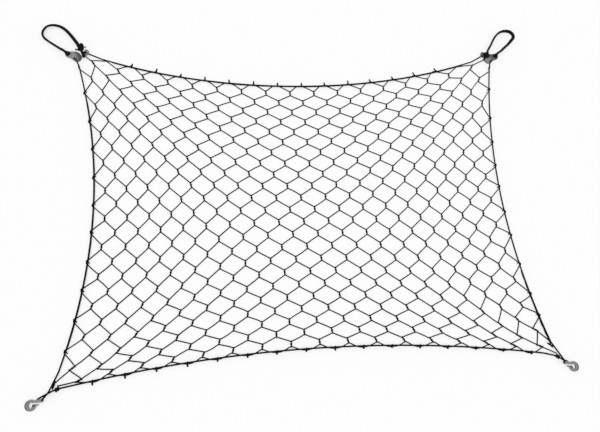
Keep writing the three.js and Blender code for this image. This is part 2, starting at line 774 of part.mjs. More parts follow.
const topCord = topCordPoints();
const net = new THREE.Group();
net.add(nettingPiece());
net.add(piece('top_cord', cordGeometry(topCord, CORD.radius), BLACK_CORD));
net.add(piece('side_cord', cordGeometry(sideCordPoints(), CORD.radius), BLACK_CORD));
for (const side of ['left', 'right']) {
  const eye = eyeGeometry(EYE_PLACES[side], GAP);
  const loop = loopGeometry(side, GAP);
  net.add(togglePiece(`toggle_${side}`, TOGGLE_PLACES[side]));
  net.add(eyePiece(`cord_eye_${side}`, EYE_PLACES[side]));
  net.add(loopPiece(`loop_${side}`, side));
  net.add(pressedKnotPiece(`loop_knot_${side}`, LOOP_KNOTS[side], side, [
    eye,
    cordGeometry(topCord, CORD.radius + GAP),
    loop,
  ]));
  net.add(pressedKnotPiece(`end_knot_${side}`, END_KNOTS[side], side, [loop]));
  net.add(hookPiece(`hook_${side}`, HOOK_PLACES[side]));
  net.add(cornerKnotPiece(`corner_knot_${side}`, CORNER_KNOTS[side]));
}

// The origin stands under the middle of everything but the two loose loops.
const box = new THREE.Box3();
for (const mesh of net.children.filter((child) => child.material !== BLACK_ELASTIC)) {
  box.expandByObject(mesh);
}
net.position.set(-(box.min.x + box.max.x) / 2, -(box.min.y + box.max.y) / 2, -box.min.z);

const model = new THREE.Group();
model.add(net);

export default model;
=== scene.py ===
"""A flat black dog barrier net with elastic loops, grey toggles and ring hooks, on a pale floor.

Sizes in the tables are in millimetres, round the middle of the rectangle between the panel's four
corners, and are turned into the frame's metres by on_panel.
"""

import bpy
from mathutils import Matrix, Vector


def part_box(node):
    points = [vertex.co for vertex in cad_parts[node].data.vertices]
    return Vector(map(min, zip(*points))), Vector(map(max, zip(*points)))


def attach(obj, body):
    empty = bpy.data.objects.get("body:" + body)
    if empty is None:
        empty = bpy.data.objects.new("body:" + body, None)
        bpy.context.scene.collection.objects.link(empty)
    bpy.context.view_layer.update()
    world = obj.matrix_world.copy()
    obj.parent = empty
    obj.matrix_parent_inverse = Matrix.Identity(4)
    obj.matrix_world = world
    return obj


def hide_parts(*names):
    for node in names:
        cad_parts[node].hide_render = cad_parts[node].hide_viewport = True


bl_info = {
    "name": "Dog barrier net",
    "version": (1, 0, 0),
    "blender": (4, 5, 0),
    "location": "View3D > Sidebar > Net",
    "description": "Dresses the packed net with twine, braided cord, elastic loops and moulded corner pieces",
    "category": "Object",
}

import bpy
import numpy as np
from bpy.props import FloatProperty, FloatVectorProperty, PointerProperty
from mathutils import Matrix

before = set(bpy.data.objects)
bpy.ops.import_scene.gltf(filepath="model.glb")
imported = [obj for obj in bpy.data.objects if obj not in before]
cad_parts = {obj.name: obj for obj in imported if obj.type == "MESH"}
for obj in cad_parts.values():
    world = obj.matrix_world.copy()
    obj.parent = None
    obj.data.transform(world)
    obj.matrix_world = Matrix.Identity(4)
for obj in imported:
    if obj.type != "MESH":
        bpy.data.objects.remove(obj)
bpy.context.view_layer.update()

# ---------- Places and sizes, in millimetres and degrees ----------

GAP = 0.3
EDGES = {
    "top": {"start": (-490, 381), "end": (490, 378.5), "inward": (0, -1),
            "bow": 90, "skew": 0, "fullness": 0.09},
    "bottom": {"start": (-494, -387), "end": (496, -377), "inward": (0, 1),
               "bow": 45.6, "skew": 0, "fullness": 0},
    "left": {"start": (-512, 372), "end": (-495.5, -387), "inward": (1, 0),
             "bow": 56, "skew": 0.08, "fullness": 0},
    "right": {"start": (506.5, 372), "end": (490, -381), "inward": (-1, 0),
              "bow": 47.9, "skew": 0.08, "fullness": 0},
}
# Netting twine, in millimetres or as shares of the ply, leg or joint.
LEG = {"beside": 0.7, "along_joint": 0.14, "slack": 0.35, "thickness": (0.95, 1.05), "clear": 0.1}
JOINT = {"longest": 20, "overrun": 0.8, "roll": 0.5}
# A side joint's lower ply bulges out under the side cord, and its upper one sweeps over it.
SIDE_JOINT = {
    "overrun": 0.08, "low": 1.3, "rise": 1.2, "bulge": 2.6, "over": 0.7, "wrap": (0.3, 0.7), "sweep": 3.2,
    "arch": 0.8,
}
# Edge joints along the top and bottom, over x: how they lean, and their length against the CAD's.
EDGE_JOINTS = {
    "top": {"x": (-450, 0, 450), "lean": (0.0, 0.4, 0.7), "length": (1.15, 1.15, 1.15)},
    "bottom": {"x": (-400, 0, 350), "lean": (0.0, 0.0, 0.0), "length": (1.15, 0.95, 0.7)},
}
# Each has one ply over the border cord and one under it: heights over the way out, and at their tips.
EDGE_PLIES = (
    {"length": 1.0, "beside": 0.4,
     "out": (-1.3, -1.1, -0.6, 0.1, 1.7, 3.0), "height": (4.2, 5.3, 6.3, 6.54, 6.2, 3.4)},
    {"length": 0.94, "beside": -0.5,
     "out": (-1.0, -0.4, 0.2, 0.8, 1.7, 3.0), "height": (1.5, 1.5, 1.5, 1.5, 1.5, 1.55)},
)
EDGE_TIPS = {"height": (1.8, 1.5), "thickness": 1.12, "shortest": 4.2, "lengths": (0.85, 1.06), "lean": 0.1}
# Legs at an edge joint start past the border cord and set out along it, between -to_x and to_x.
EDGE_LEGS = {"past_cord": 1.7, "pull": 1.15, "to_x": 450}
# Where the netting's edge twine lies beside the border cord: first and last y, or x at the top.
SELVEDGES = (
    {"edge": "top", "from": -430, "to": 430, "radius": 0.65},
    {"edge": "left", "from": 250, "to": -318, "radius": 0.4},
    {"edge": "right", "from": -195, "to": -290, "radius": 0.6},
    {"edge": "right", "from": -284, "to": -362, "radius": 1.0},
)
# How that twine sways beside the cord, in its own radii, and rises and falls, in millimetres.
SWAY = {"beside": 0.75, "sway": 0.3, "sways": 23, "level": -0.2, "rise": 0.2, "rises": 31}
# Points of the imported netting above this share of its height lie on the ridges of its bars.
RIDGE_FROM = 0.75
CORD_RADIUS = 1.6
CORD_LEVEL = 3.9
CORD_BEND = 2.6
# Where a cord's bent end joins its edge, and its runs along the edges, in x, or in y at the sides.
TOP_CORD = {"join": 456, "run": (-440, 440)}
SIDE_CORD = {"join": 348, "left": (335, -355), "bottom": (-462, 462), "right": (-350, 335)}

HOOK = {
    "height": 6.4, "outer": 10.3, "eye": (3.0, 5.4), "mouth_low": 1.3, "mouth_high": 3.4,
    "tip": 14.3, "tip_low": -0.9, "shank_end": 22.8, "shank_top": 9.8, "dip": (9, 8.2), "ring_end": 58,
    "hollow": 4.5, "hole": (19.9, 6.5), "turn_x": 10.2, "turn_low": 5.4, "turn_high": 9.8, "bend": 2.1,
    "tip_round": 1.1, "end_round": 2.2, "straight_from": 14,
}
# The hook's bar over the parameter of its rails: its underside, its top and its squareness.
HOOK_BAR = {
    "low": ((0, 0.5, 10.4, 10.8, 14), (1.6, 0.1, 0.1, HOOK["hollow"], HOOK["hollow"])),
    "high": ((0, 0.7, 1.8, 3.4, 14), (3.2, 4.8, 5.4, HOOK["height"], HOOK["height"])),
    "squareness": ((0, 1, 3, 5, 9, 11, 14), (1, 0.7, 0.6, 0.72, 0.72, 0.5, 0.45)),
}
# The shallow pocket beside the hook's eye, which is also painted with shade.
POCKET = {"at": (5.3, -0.6), "half": (3.3, 2.8), "depth": 1.7}
HOOKS = {
    "left": {"at": (-529.9, -411.2), "turn": 1.5, "side": 1, "crossing": (31, 20)},
    "right": {"at": (518.8, -401), "turn": -5, "side": -1, "crossing": (22.6, 14.1)},
}
# Knots that tie the bottom corners: turns of twine round the border cord, and one strand across them.
CORNER_TIE = {"turns": 3, "half": 2.6, "clear": 1.0, "strand": 1.2, "across": (3.4, 3.2, 3.8)}
CORNER_KNOTS = {
    "left": {"at": (-486, -385.5), "angle": 15, "reach": 4.5},
    "right": {"at": (489.4, -379.5), "angle": -24, "reach": 4.5},
}
TOGGLE = {
    "height": 8.0, "lug_height": 5.0, "lug_from": 17.8, "lug_to": 19.2, "flare_drop": 1.3,
    "hub": (-8.0, 12.0), "hole": (-4.8, 1.5), "hole_rim": (1.8, 3.1), "hole_depth": 4.5,
    "cord_end": 3, "over_edge": (0.5, -6.5),
}
# Each toggle's painted shade: how much of the shade colour it takes, the direction it darkens towards, and
# the span over which it comes in.
TOGGLES = {
    "left": {"at": (-511, 365), "turn": 0, "side": 1,
             "painted_shade": {"share": 0.8, "towards": (1, 0.3), "over": (-3, 8)}},
    "right": {"at": (503, 366), "turn": 0, "side": -1,
              "painted_shade": {"share": 0.72, "towards": (-1, 0.25), "over": (4, 11)}},
}
EYE = {"half": (6, 8.5), "hole": (2.7, 4.2), "low": 4.7, "height": 3.6, "end_below": 0.4, "level_by": 3}
# Each eye is painted with shade: the left one a little, the right one wholly in the shade colour.
EYES = {
    "left": {"at": (-490, 384.8), "turn": 12, "side": 1, "drop": 3.6, "painted_light": 0.85},
    "right": {"at": (489.8, 386.3), "turn": -12, "side": -1, "drop": 5.5, "painted_light": 0.0},
}

# Routes of the elastic loops: out of the big knot, round the bend and back into the end knot.
ELASTIC = {
    "width": 8.0, "thickness": 4.8, "stations": 90, "lean_spread": 6, "clear": 0.2, "ribs": 14, "pick": 1.1,
}
LOOP_ROUTES = {
    "left": [
        (-508.5, 401, 8.4), (-511.5, 408, 7), (-516.5, 417, 4.5), (-525, 430, 2.8), (-535, 443.5, 2.7),
        (-546, 456, 2.7), (-559, 465, 2.7), (-574, 468.5, 2.7), (-587, 464.5, 2.7), (-594.5, 453, 2.7),
        (-596, 441, 2.7), (-590.5, 429, 2.7), (-577.5, 417, 2.7), (-562.5, 405.5, 3),
        (-550.5, 396.5, 4.7), (-544, 391, 7.2), (-536, 383.5, 8.2),
    ],
    "right": [
        (499.5, 387.3, 11), (505, 397, 8.2), (510, 405.5, 5), (516.5, 415, 3.2), (524.5, 427.5, 2.7),
        (533, 441.5, 2.7), (542.5, 453.5, 2.7), (555, 463.5, 2.7), (569.5, 467.5, 2.7), (582, 464, 2.7),
        (588.5, 454.5, 2.7), (587, 445, 2.7), (578.5, 435, 2.7), (567, 422.5, 2.7), (555.5, 412.5, 3),
        (545, 402.5, 4.6), (535, 394.5, 7.2), (525, 386, 8.2),
    ],
}
# How far each loop leans along its length: 0 lies flat, 90 stands on edge, and past 90 it leans over.
LOOP_LEANS = {
    "left": {"share": (0, 0.1, 0.45, 0.62, 0.75, 1), "degrees": (20, 25, 30, 80, 112, 95)},
    "right": {"share": (0, 0.1, 0.35, 0.48, 0.6, 0.75, 1), "degrees": (70, 78, 100, 100, 12, 55, 60)},
}

# Knots as barrels of pulled-tight turns. Shares: a strand's inset, how much the ends narrow, how tight and
# flat the strand lies, and the thickness and length of the filled middle.
KNOT = {
    "inset": 0.8, "narrow": 0.55, "tight": 0.86, "flat": 0.8, "core": 0.72, "core_length": 0.8,
    "turn_stations": 26,
}
BIG_KNOTS = {
    "left": {"at": (-503.8, 397.7, 8.6), "half": (7.6, 11.5, 7.2), "turn": 8, "turns": 3.2, "strand": 3.9},
    "right": {"at": (498.2, 382.7, 8.6), "half": (8.5, 8.5, 7.5), "turn": 0, "turns": 2.4, "strand": 3.7},
}
END_KNOTS = {
    "left": {"at": (-532.6, 380.6, 8), "half": (6, 7.5, 5), "turn": 70, "turns": 2.4, "strand": 2.7},
    "right": {"at": (522, 381.9, 8), "half": (6.5, 6.5, 5), "turn": -70, "turns": 2.2, "strand": 2.7},
}
# The loose ends of the big knots, from base to tip.
TAILS = {
    "left": [
        {"radius": 3.2,
         "line": [(-503, 392, 11), (-500.5, 386, 10.5), (-497.5, 378, 9.5), (-494.8, 369.5, 6)]},
        {"radius": 1.7, "line": [(-506, 388.5, 10), (-511, 389, 11), (-516, 391, 10)]},
        {"radius": 1.3, "line": [(-500, 397, 10), (-496.5, 397, 11), (-491.5, 397.5, 10)]},
        {"radius": 2.2, "line": [(-499, 381, 10.5), (-494, 381, 11), (-488.8, 382.1, 10.8)]},
        {"radius": 1.3, "line": [(-496.5, 379.5, 9), (-493.5, 377, 5), (-490.3, 374.4, 1.5)]},
    ],
    "right": [
        {"radius": 1.8, "line": [(496, 386, 10), (495, 388.5, 10), (493.8, 390.5, 9.5)]},
        {"radius": 2.2, "line": [(502, 383, 11), (504, 382.6, 10.8), (505.5, 382.3, 10)]},
        {"radius": 2.2, "line": [(493.3, 377.5, 8), (491.3, 373.5, 6.8), (489, 369.5, 5)]},
    ],
}

# The finish of each material slot.
SLOTS = {
    "black_yarn": "netting_twine", "black_cord": "border_braid", "black_elastic": "woven_elastic",
    "grey_nylon": "moulded_nylon",
}
# Degrees for angles, and metres for the camera's distance and the floor.
CAMERA = {"target": (-13.7, -49.8), "distance": 1.2584, "azimuth": 16.5, "elevation": 64.94, "roll": 13.5,
          "lens": 34.86}
LIGHT = {"world": 0.78, "sun": 0.7, "sun_spread": 40, "sun_turn": (28, -22)}
FLOOR = {"reach": 4, "glow": 0.64, "own_light": 0.4}


def metres(name, description, default):
    """A length in metres that a user may change."""
    return FloatProperty(name=name, description=description, default=default, unit="LENGTH")


def rgb(name, description, default):
    """A colour that a user may change."""
    return FloatVectorProperty(name=name, description=description, default=default, subtype="COLOR")


class NetSizes(bpy.types.PropertyGroup):
    """Sizes of the twine, which may be changed without moving anything."""

    leg_radius: metres("Leg radius", "Half the width of a netting leg", 0.00125)
    ply_radius: metres("Ply radius", "Half the width of one ply of a netting joint", 0.0013)
    ply_offset: metres("Ply offset", "How far a joint's plies lie off its middle", 0.00095)
    cord_radius: metres("Cord radius", "Half the width of the border cord", CORD_RADIUS / 1000)


class NetColours(bpy.types.PropertyGroup):
    """Colours of the finishes."""

    yarn: rgb("Netting", "Colour of the netting twine", (0.005, 0.005, 0.0056))
    cord: rgb("Border cord", "Colour of the border cord", (0.0045, 0.0045, 0.005))
    elastic: rgb("Elastic", "Colour of the loops and knots", (0.0035, 0.0035, 0.0038))
    nylon: rgb("Nylon", "Colour of the moulded pieces", (0.26, 0.26, 0.265))
    # Painted shade: the colour the moulded pieces are painted in where hollows, bends and sides lie in shade.
    nylon_painted_shade: rgb("Nylon in hollows", "Its colour in hollows and bends", (0.028, 0.028, 0.03))
    floor: rgb("Floor", "Colour of the floor", (0.9, 0.9, 0.9))


# ---------- Lines ----------


def panel_middle():
    """The panel's middle in the frame, in millimetres: a corner knot's place less its place on the panel."""
    low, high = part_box("corner_knot_left")
    middle = (np.array(low) + np.array(high)) * 500
    x, y = CORNER_KNOTS["left"]["at"]
    return np.array([middle[0] - x, middle[1] - y, 0.0])


def on_panel(points):
    """Points in millimetres on the panel as metres in the frame."""
    return (np.asarray(points, float) + panel_middle()) / 1000


def turned(points, degrees):
    """Points turned about the upright axis."""
    angle = np.radians(degrees)
    turn = np.array([[np.cos(angle), -np.sin(angle), 0], [np.sin(angle), np.cos(angle), 0], [0, 0, 1]])
    return np.asarray(points, float) @ turn.T


def placed(place, points):
    """A corner piece's own points, in millimetres, put where it lies: mirrored on the right-hand side."""
    local = np.asarray(points, float) * (place["side"], 1, 1)
    return turned(local, place["turn"]) + (*place["at"], 0)


def edge_point(edge, value):
    """Point on a bowed edge where its x, or on a side edge its y, is value.

    It is the straight line from start to end, plus inward · a · bow · shape. The arch a is 4t(1 - t),
    and the shape is 1 + skew · (2t - 1) + fullness · (1 - a).
    """
    start, end = np.array(edge["start"], float), np.array(edge["end"], float)
    axis = 0 if edge["inward"][0] == 0 else 1
    t = ((np.asarray(value) - start[axis]) / (end[axis] - start[axis]))[..., None]
    arch = 4 * t * (1 - t)
    bow = arch * edge["bow"] * (1 + edge["skew"] * (2 * t - 1) + edge["fullness"] * (1 - arch))
    return start + (end - start) * t + bow * np.array(edge["inward"])


def edge_stations(edge, first, last, count):
    """Points along an edge between two values of x or y, at the border cord's height."""
    return np.column_stack([edge_point(edge, np.linspace(first, last, count)), np.full(count, CORD_LEVEL)])


def unit(vectors):
    """Vectors made one long."""
    return vectors / np.linalg.norm(vectors, axis=-1, keepdims=True)


def rounded(corners, radius, steps=6):
    """A line through corners with each inner corner replaced by an arc of that radius."""
    corners = np.asarray(corners, float)
    points = [corners[:1]]
    for before, corner, after in zip(corners, corners[1:], corners[2:]):
        into, out = unit(corner - before), unit(after - corner)
        angle = np.arccos(np.clip(into @ out, -1, 1))
        inside = unit(out - into * np.cos(angle))
        centre = corner - into * radius * np.tan(angle / 2) + inside * radius
        turn = np.linspace(0, angle, steps)[:, None]
        points.append(centre - inside * radius * np.cos(turn) + into * radius * np.sin(turn))
    points.append(corners[-1:])
    return np.concatenate(points)


def evenly(points, count):
    """The same line with count points spaced evenly along it."""
    along = np.concatenate([[0], np.cumsum(np.linalg.norm(np.diff(points, axis=0), axis=1))])
    at = np.linspace(0, along[-1], count)
    return np.column_stack([np.interp(at, along, points[:, axis]) for axis in range(3)])


def smooth(points, count):
    """A Catmull-Rom curve through points, spaced evenly."""
    points = np.asarray(points, float)
    padded = np.vstack([2 * points[0] - points[1], points, 2 * points[-1] - points[-2]])
    t = np.linspace(0, 1, 24, endpoint=False)[:, None]
    spans = [
        0.5 * (2 * b + (c - a) * t + (2 * a - 5 * b + 4 * c - d) * t**2 + (3 * b - a - 3 * c + d) * t**3)
        for a, b, c, d in zip(padded, padded[1:], padded[2:], padded[3:])
    ]
    return evenly(np.vstack([*spans, points[-1:]]), count)


def carried_frames(points):
    """Across and up directions along a line: each is the one before, made square to the line again."""
    padded = np.vstack([2 * points[0] - points[1], points, 2 * points[-1] - points[-2]])
    along = unit(padded[2:] - padded[:-2])
    start = np.cross((0, 0, 1), along[0])
    across = [unit(start if np.linalg.norm(start) > 0.2 else np.cross((0, 1, 0), along[0]))]
    for direction in along[1:]:
        across.append(unit(across[-1] - direction * (across[-1] @ direction)))
    across = np.array(across)
    return across, np.cross(along, across)


def level_frames(points):
    """Across directions kept level, and up directions square to them and to the line."""
    along = unit(np.gradient(points, axis=-2))
    across = unit(np.cross((0, 0, 1), along))
    return across, np.cross(along, across)


# ---------- Surfaces ----------


def new_object(name, data):
    """An object in the scene."""
    made = bpy.data.objects.new(name, data)
    bpy.context.scene.collection.objects.link(made)
    return made


def swept(middle, across, up, width, height, sides, squareness=1.0):
    """Rings round a line: middle + across · width · C(a) + up · height · S(a).

    The angle a goes once round, C and S are its cosine and sine, and both are raised to squareness with
    their sign kept: 1 gives an ellipse and 0.4 a rectangle with round corners.
    """
    angle = (np.arange(sides) + 0.5) * 2 * np.pi / sides
    squareness = np.asarray(squareness, float)[..., None]
    cosine = np.sign(np.cos(angle)) * np.abs(np.cos(angle)) ** squareness
    sine = np.sign(np.sin(angle)) * np.abs(np.sin(angle)) ** squareness
    width = np.broadcast_to(width, middle.shape[:-1])[..., None]
    height = np.broadcast_to(height, middle.shape[:-1])[..., None]
    return (
        middle[..., None, :]
        + across[..., None, :] * (width * cosine)[..., None]
        + up[..., None, :] * (height * sine)[..., None]
    )


def cells(grid):
    """The four corners of each cell of a grid of stations and sides, going round the cell."""
    return np.stack([grid[:, :-1, :-1], grid[:, :-1, 1:], grid[:, 1:, 1:], grid[:, 1:, :-1]], 3)


def tube(frames, middle, width, height, sides, squareness=1.0):
    """Rings round a line, with their directions from level_frames or carried_frames."""
    return swept(middle, *frames(middle), width, height, sides, squareness)


class Surface:
    """Closed tubes gathered into one mesh. Rings come as (tube, station, side, xyz) in metres."""

    def __init__(self):
        self.vertices = []
        self.faces = []
        self.uvs = []
        self.painted_lights = []
        self.count = 0

    def add(self, rings, painted_light=None, closed=False):
        """Adds tubes: quads between rings, and an end face at both ends unless the tube is closed.

        In the UV map u goes once round the tube and v is the distance along it in metres. Returns itself.
        """
        rings = rings[None] if rings.ndim == 3 else rings
        tubes, stations, sides, _ = rings.shape
        number = np.arange(rings.size // 3).reshape(tubes, stations, sides) + self.count
        if closed:
            number = np.concatenate([number, number[:, :1]], axis=1)
        around = np.concatenate([number, number[:, :, :1]], axis=2)
        quads = cells(around)

        middle = rings.mean(axis=2)
        steps = np.linalg.norm(np.diff(middle, axis=1, append=middle[:, :1]), axis=-1)
        along = np.concatenate([np.zeros((tubes, 1)), np.cumsum(steps, axis=1)], axis=1)
        v = along[:, : quads.shape[1] + 1, None]
        u = np.linspace(0, 1, sides + 1)
        quad_uvs = cells(np.stack(np.broadcast_arrays(u, v), -1))

        first, last = rings[:, :-1], rings[:, 1:]
        outward = np.einsum("...i,...i", np.cross(np.roll(first, -1, 2) - first, last - first),
                            first - middle[:, :-1, None]).sum()
        flip = -1 if outward < 0 else 1
        self.faces += quads.reshape(-1, 4)[:, ::flip].tolist()
        self.uvs.append(quad_uvs.reshape(-1, 4, 2)[:, ::flip].reshape(-1, 2))
        if not closed:
            for ring, way in ((number[:, 0], -flip), (number[:, -1], flip)):
                self.faces += ring[:, ::way].tolist()
                self.uvs.append(np.zeros((ring.size, 2)))
        self.vertices.append(rings.reshape(-1, 3))
        self.painted_lights.append(np.ones(rings.size // 3) if painted_light is None else painted_light.reshape(-1))
        self.count += rings.size // 3
        return self

    def piece(self, name, slot, *nodes):
        """Makes the mesh an object in its slot's finish. It rides on the part and stands for those nodes."""
        mesh = bpy.data.meshes.new(name)
        mesh.from_pydata(np.concatenate(self.vertices), [], self.faces)
        mesh.uv_layers.new(name="UVMap").uv.foreach_set("vector", np.concatenate(self.uvs).ravel())
        # Per-point painted light: 1 gives the lit colour and 0 the painted shade colour.
        painted_light = mesh.attributes.new("painted_light", "FLOAT", "POINT")
        painted_light.data.foreach_set("value", np.concatenate(self.painted_lights))
        mesh.polygons.foreach_set("use_smooth", np.ones(len(mesh.polygons), bool))
        mesh.materials.append(finish(SLOTS[slot]))
        mesh.validate()
        made = new_object(name, mesh)
        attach(made, "root")
        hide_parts(*nodes)
        return made


# ---------- Finishes ----------


def new_material(name):
    """A node material, its tree and its shader."""
    material = bpy.data.materials.new(name)
    material.use_nodes = True
    return material, material.node_tree, material.node_tree.nodes["Principled BSDF"]


def feed(tree, node, inputs):
    """Sets a node's inputs, by name or number: a socket is linked, and a number or colour put in."""
    for name, value in inputs.items():
        if isinstance(value, bpy.types.NodeSocket):
            tree.links.new(value, node.inputs[name])
        else:
            node.inputs[name].default_value = value


def new_node(tree, kind, inputs, **settings):
    """A shader node with its settings and inputs."""
    node = tree.nodes.new("ShaderNode" + kind)
    for name, value in settings.items():
        setattr(node, name, value)
    feed(tree, node, inputs)
    return node


def maths(tree, operation, *inputs):
    """A Math node with numbers or sockets on its inputs."""
    return new_node(tree, "Math", dict(enumerate(inputs)), operation=operation).outputs[0]


def coordinates(tree):
    """How far round and how far along the cord in metres, from the UV map, and the place on the object."""
    place = new_node(tree, "TexCoord", {})
    split = new_node(tree, "SeparateXYZ", {0: place.outputs["UV"]})
    return split.outputs["X"], split.outputs["Y"], place.outputs["Object"]


def noise(tree, place, scale, distortion=0.0):
    """Noise over a place."""
    inputs = {"Vector": place, "Scale": scale, "Distortion": distortion}
    return new_node(tree, "TexNoise", inputs).outputs["Fac"]


def colour_between(tree, shader, factor, dark, light):
    """Gives a shader the colour that lies between dark and light by factor."""
    shades = new_node(tree, "Mix", {"Factor": factor}, data_type="RGBA")
    feed(tree, shades, {"A": (*dark, 1), "B": (*light, 1)})
    feed(tree, shader, {"Base Color": shades.outputs["Result"]})


def relief(tree, shader, height, distance, strength):
    """Gives a shader bumps that deep, in metres."""
    bump = new_node(tree, "Bump", {"Height": height, "Distance": distance, "Strength": strength})
    feed(tree, shader, {"Normal": bump.outputs["Normal"]})


def shine(tree, shader, roughness, specular):
    """Sets how rough a shader is and how much it mirrors."""
    feed(tree, shader, {"Roughness": roughness, "Specular IOR Level": specular})


def times(share, colour):
    """A colour made darker or lighter."""
    return [share * part for part in colour]


def braid_material(name, colour, strands, pitch, depth, roughness):
    """Braided cord: two sets of ridges that cross, |sin(strands·u ± v / pitch)|, with a painted highlight on
    their crowns and painted shade between them.

    u goes round the cord and v along it in metres, so the braid follows every bend.
    """
    material, tree, shader = new_material(name)
    u, v, place = coordinates(tree)
    around = maths(tree, "MULTIPLY", u, strands * np.pi)
    along = maths(tree, "MULTIPLY", v, np.pi / pitch)
    right, left = (
        maths(tree, "ABSOLUTE", maths(tree, "SINE", maths(tree, way, around, along)))
        for way in ("ADD", "SUBTRACT")
    )
    ridge = maths(tree, "MAXIMUM", right, left)
    # Painted highlight on the ridges' crowns and painted shade in the grooves between them, varied at random
    # by noise.
    light = maths(tree, "MULTIPLY", ridge, maths(tree, "ADD", noise(tree, place, scale=900), 0.5))
    colour_between(tree, shader, light, times(0.45, colour), times(1.25, colour))
    relief(tree, shader, ridge, depth, strength=0.8)
    shine(tree, shader, roughness, specular=0.08)
    return material


def elastic_material(name, colour):
    """Flat woven elastic: ribs along it, with fine picks across, and a worn bloom in broad patches."""
    material, tree, shader = new_material(name)
    u, v, place = coordinates(tree)
    ribs = maths(tree, "SINE", maths(tree, "MULTIPLY", u, 2 * np.pi * ELASTIC["ribs"]))
    picks = maths(tree, "SINE", maths(tree, "MULTIPLY", v, 2000 * np.pi / ELASTIC["pick"]))
    weave = maths(tree, "ADD", ribs, maths(tree, "MULTIPLY", picks, 0.5))
    colour_between(tree, shader, noise(tree, place, scale=140), times(0.6, colour), times(1.6, colour))
    relief(tree, shader, weave, distance=0.00012, strength=0.7)
    shine(tree, shader, roughness=0.62, specular=0.1)
    return material


def nylon_material(name, colour, painted_shade):
    """Moulded nylon: each point's painted light runs from the painted shade colour to the lit colour, with
    faint flow marks and grain.
    """
    material, tree, shader = new_material(name)
    place = coordinates(tree)[2]
    painted_light = new_node(tree, "Attribute", {}, attribute_name="painted_light").outputs["Fac"]
    flow = noise(tree, place, scale=180, distortion=0.8)
    marks = maths(tree, "MULTIPLY", maths(tree, "SUBTRACT", flow, 0.5), 0.16)
    colour_between(tree, shader, maths(tree, "ADD", painted_light, marks), painted_shade, colour)
    relief(tree, shader, noise(tree, place, scale=2600), distance=0.00006, strength=0.5)
    worn = new_node(tree, "MapRange", {"Value": flow, "To Min": 0.38, "To Max": 0.55})
    shine(tree, shader, worn.outputs["Result"], specular=0.4)
    return material


def floor_material(name, colour):
    """Pale floor: the camera sees most of its light as its own, so the shadow on it stays faint."""
    material, tree, shader = new_material(name)
    shine(tree, shader, roughness=0.9, specular=0.0)
    seen = new_node(tree, "LightPath", {}).outputs["Is Camera Ray"]
    colour_between(tree, shader, seen, colour, times(FLOOR["own_light"], colour))
    glow = new_node(tree, "Emission", {"Strength": maths(tree, "MULTIPLY", seen, FLOOR["glow"])})
    both = new_node(tree, "AddShader", {0: shader.outputs[0], 1: glow.outputs[0]})
    feed(tree, tree.nodes["Material Output"], {"Surface": both.outputs[0]})
    return material


def finish(kind):
    """The named finish, made the first time that it is asked for."""
    if kind in bpy.data.materials:
        return bpy.data.materials[kind]
    colours = bpy.context.scene.net_colours
    if kind == "netting_twine":
        return braid_material(kind, colours.yarn, strands=3, pitch=0.0032, depth=0.0002, roughness=0.8)
    if kind == "border_braid":
        return braid_material(kind, colours.cord, strands=8, pitch=0.0045, depth=0.00018, roughness=0.68)
    if kind == "woven_elastic":
        return elastic_material(kind, colours.elastic)
    return nylon_material(kind, colours.nylon, colours.nylon_painted_shade)


# ---------- Netting ----------


def net_bars():
    """The netting's middle lines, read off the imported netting: the sharp ridge along each of its bars.

    Returns the points, and the pairs of them that are legs, joints, side joints and nubs. A short bar
    with a loose end is a nub, or the tie of a corner joint, which counts as a leg.
    """
    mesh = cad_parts["netting"].data
    corners = np.empty(len(mesh.vertices) * 3)
    mesh.vertices.foreach_get("co", corners)
    triangles = np.empty(len(mesh.polygons) * 3, int)
    mesh.polygons.foreach_get("vertices", triangles)
    points, number = np.unique(np.round(corners.reshape(-1, 3), 5), axis=0, return_inverse=True)
    triangles = number.ravel()[triangles.reshape(-1, 3)]
    edges = np.concatenate([triangles[:, [0, 1]], triangles[:, [1, 2]], triangles[:, [2, 0]]])
    edges = np.sort(edges, axis=1)
    ridge = points[:, 2] > RIDGE_FROM * points[:, 2].max()
    bars = np.unique(edges[ridge[edges].all(axis=1)], axis=0)

    flat = points[:, :2]
    short = np.linalg.norm(flat[bars[:, 0]] - flat[bars[:, 1]], axis=1) * 1000 < JOINT["longest"]
    meeting = np.bincount(bars.ravel(), minlength=len(points))[bars]
    short_meeting = np.bincount(bars[short].ravel(), minlength=len(points))[bars]
    loose = short & (meeting == 1).any(axis=1)
    nub = loose & (short_meeting == 1).all(axis=1)
    side = short & ~loose & (meeting <= 2).all(axis=1)
    leg = ~short | (loose & ~nub)
    nubs = np.where(meeting[nub][:, :1] == 3, bars[nub], bars[nub][:, ::-1])
    return flat, bars[leg], bars[~leg & ~nub & ~side], bars[side], nubs


def outward_axes(flat, joints, nubs):
    """At each end of a joint the direction out of it, into its legs; at a nub's root, away from the nub."""
    axes = np.zeros_like(flat)
    run = unit(flat[joints[:, 1]] - flat[joints[:, 0]])
    axes[joints[:, 0]] = -run
    axes[joints[:, 1]] = run
    axes[nubs[:, 0]] = -unit(flat[nubs[:, 1]] - flat[nubs[:, 0]])
    return axes


def square_to(directions):
    """Flat directions turned a quarter turn to the left."""
    return np.stack([-directions[..., 1], directions[..., 0]], -1)


def with_height(flat, height):
    """Flat points with a height."""
    return np.concatenate([flat, np.broadcast_to(height, flat.shape[:-1])[..., None]], -1)


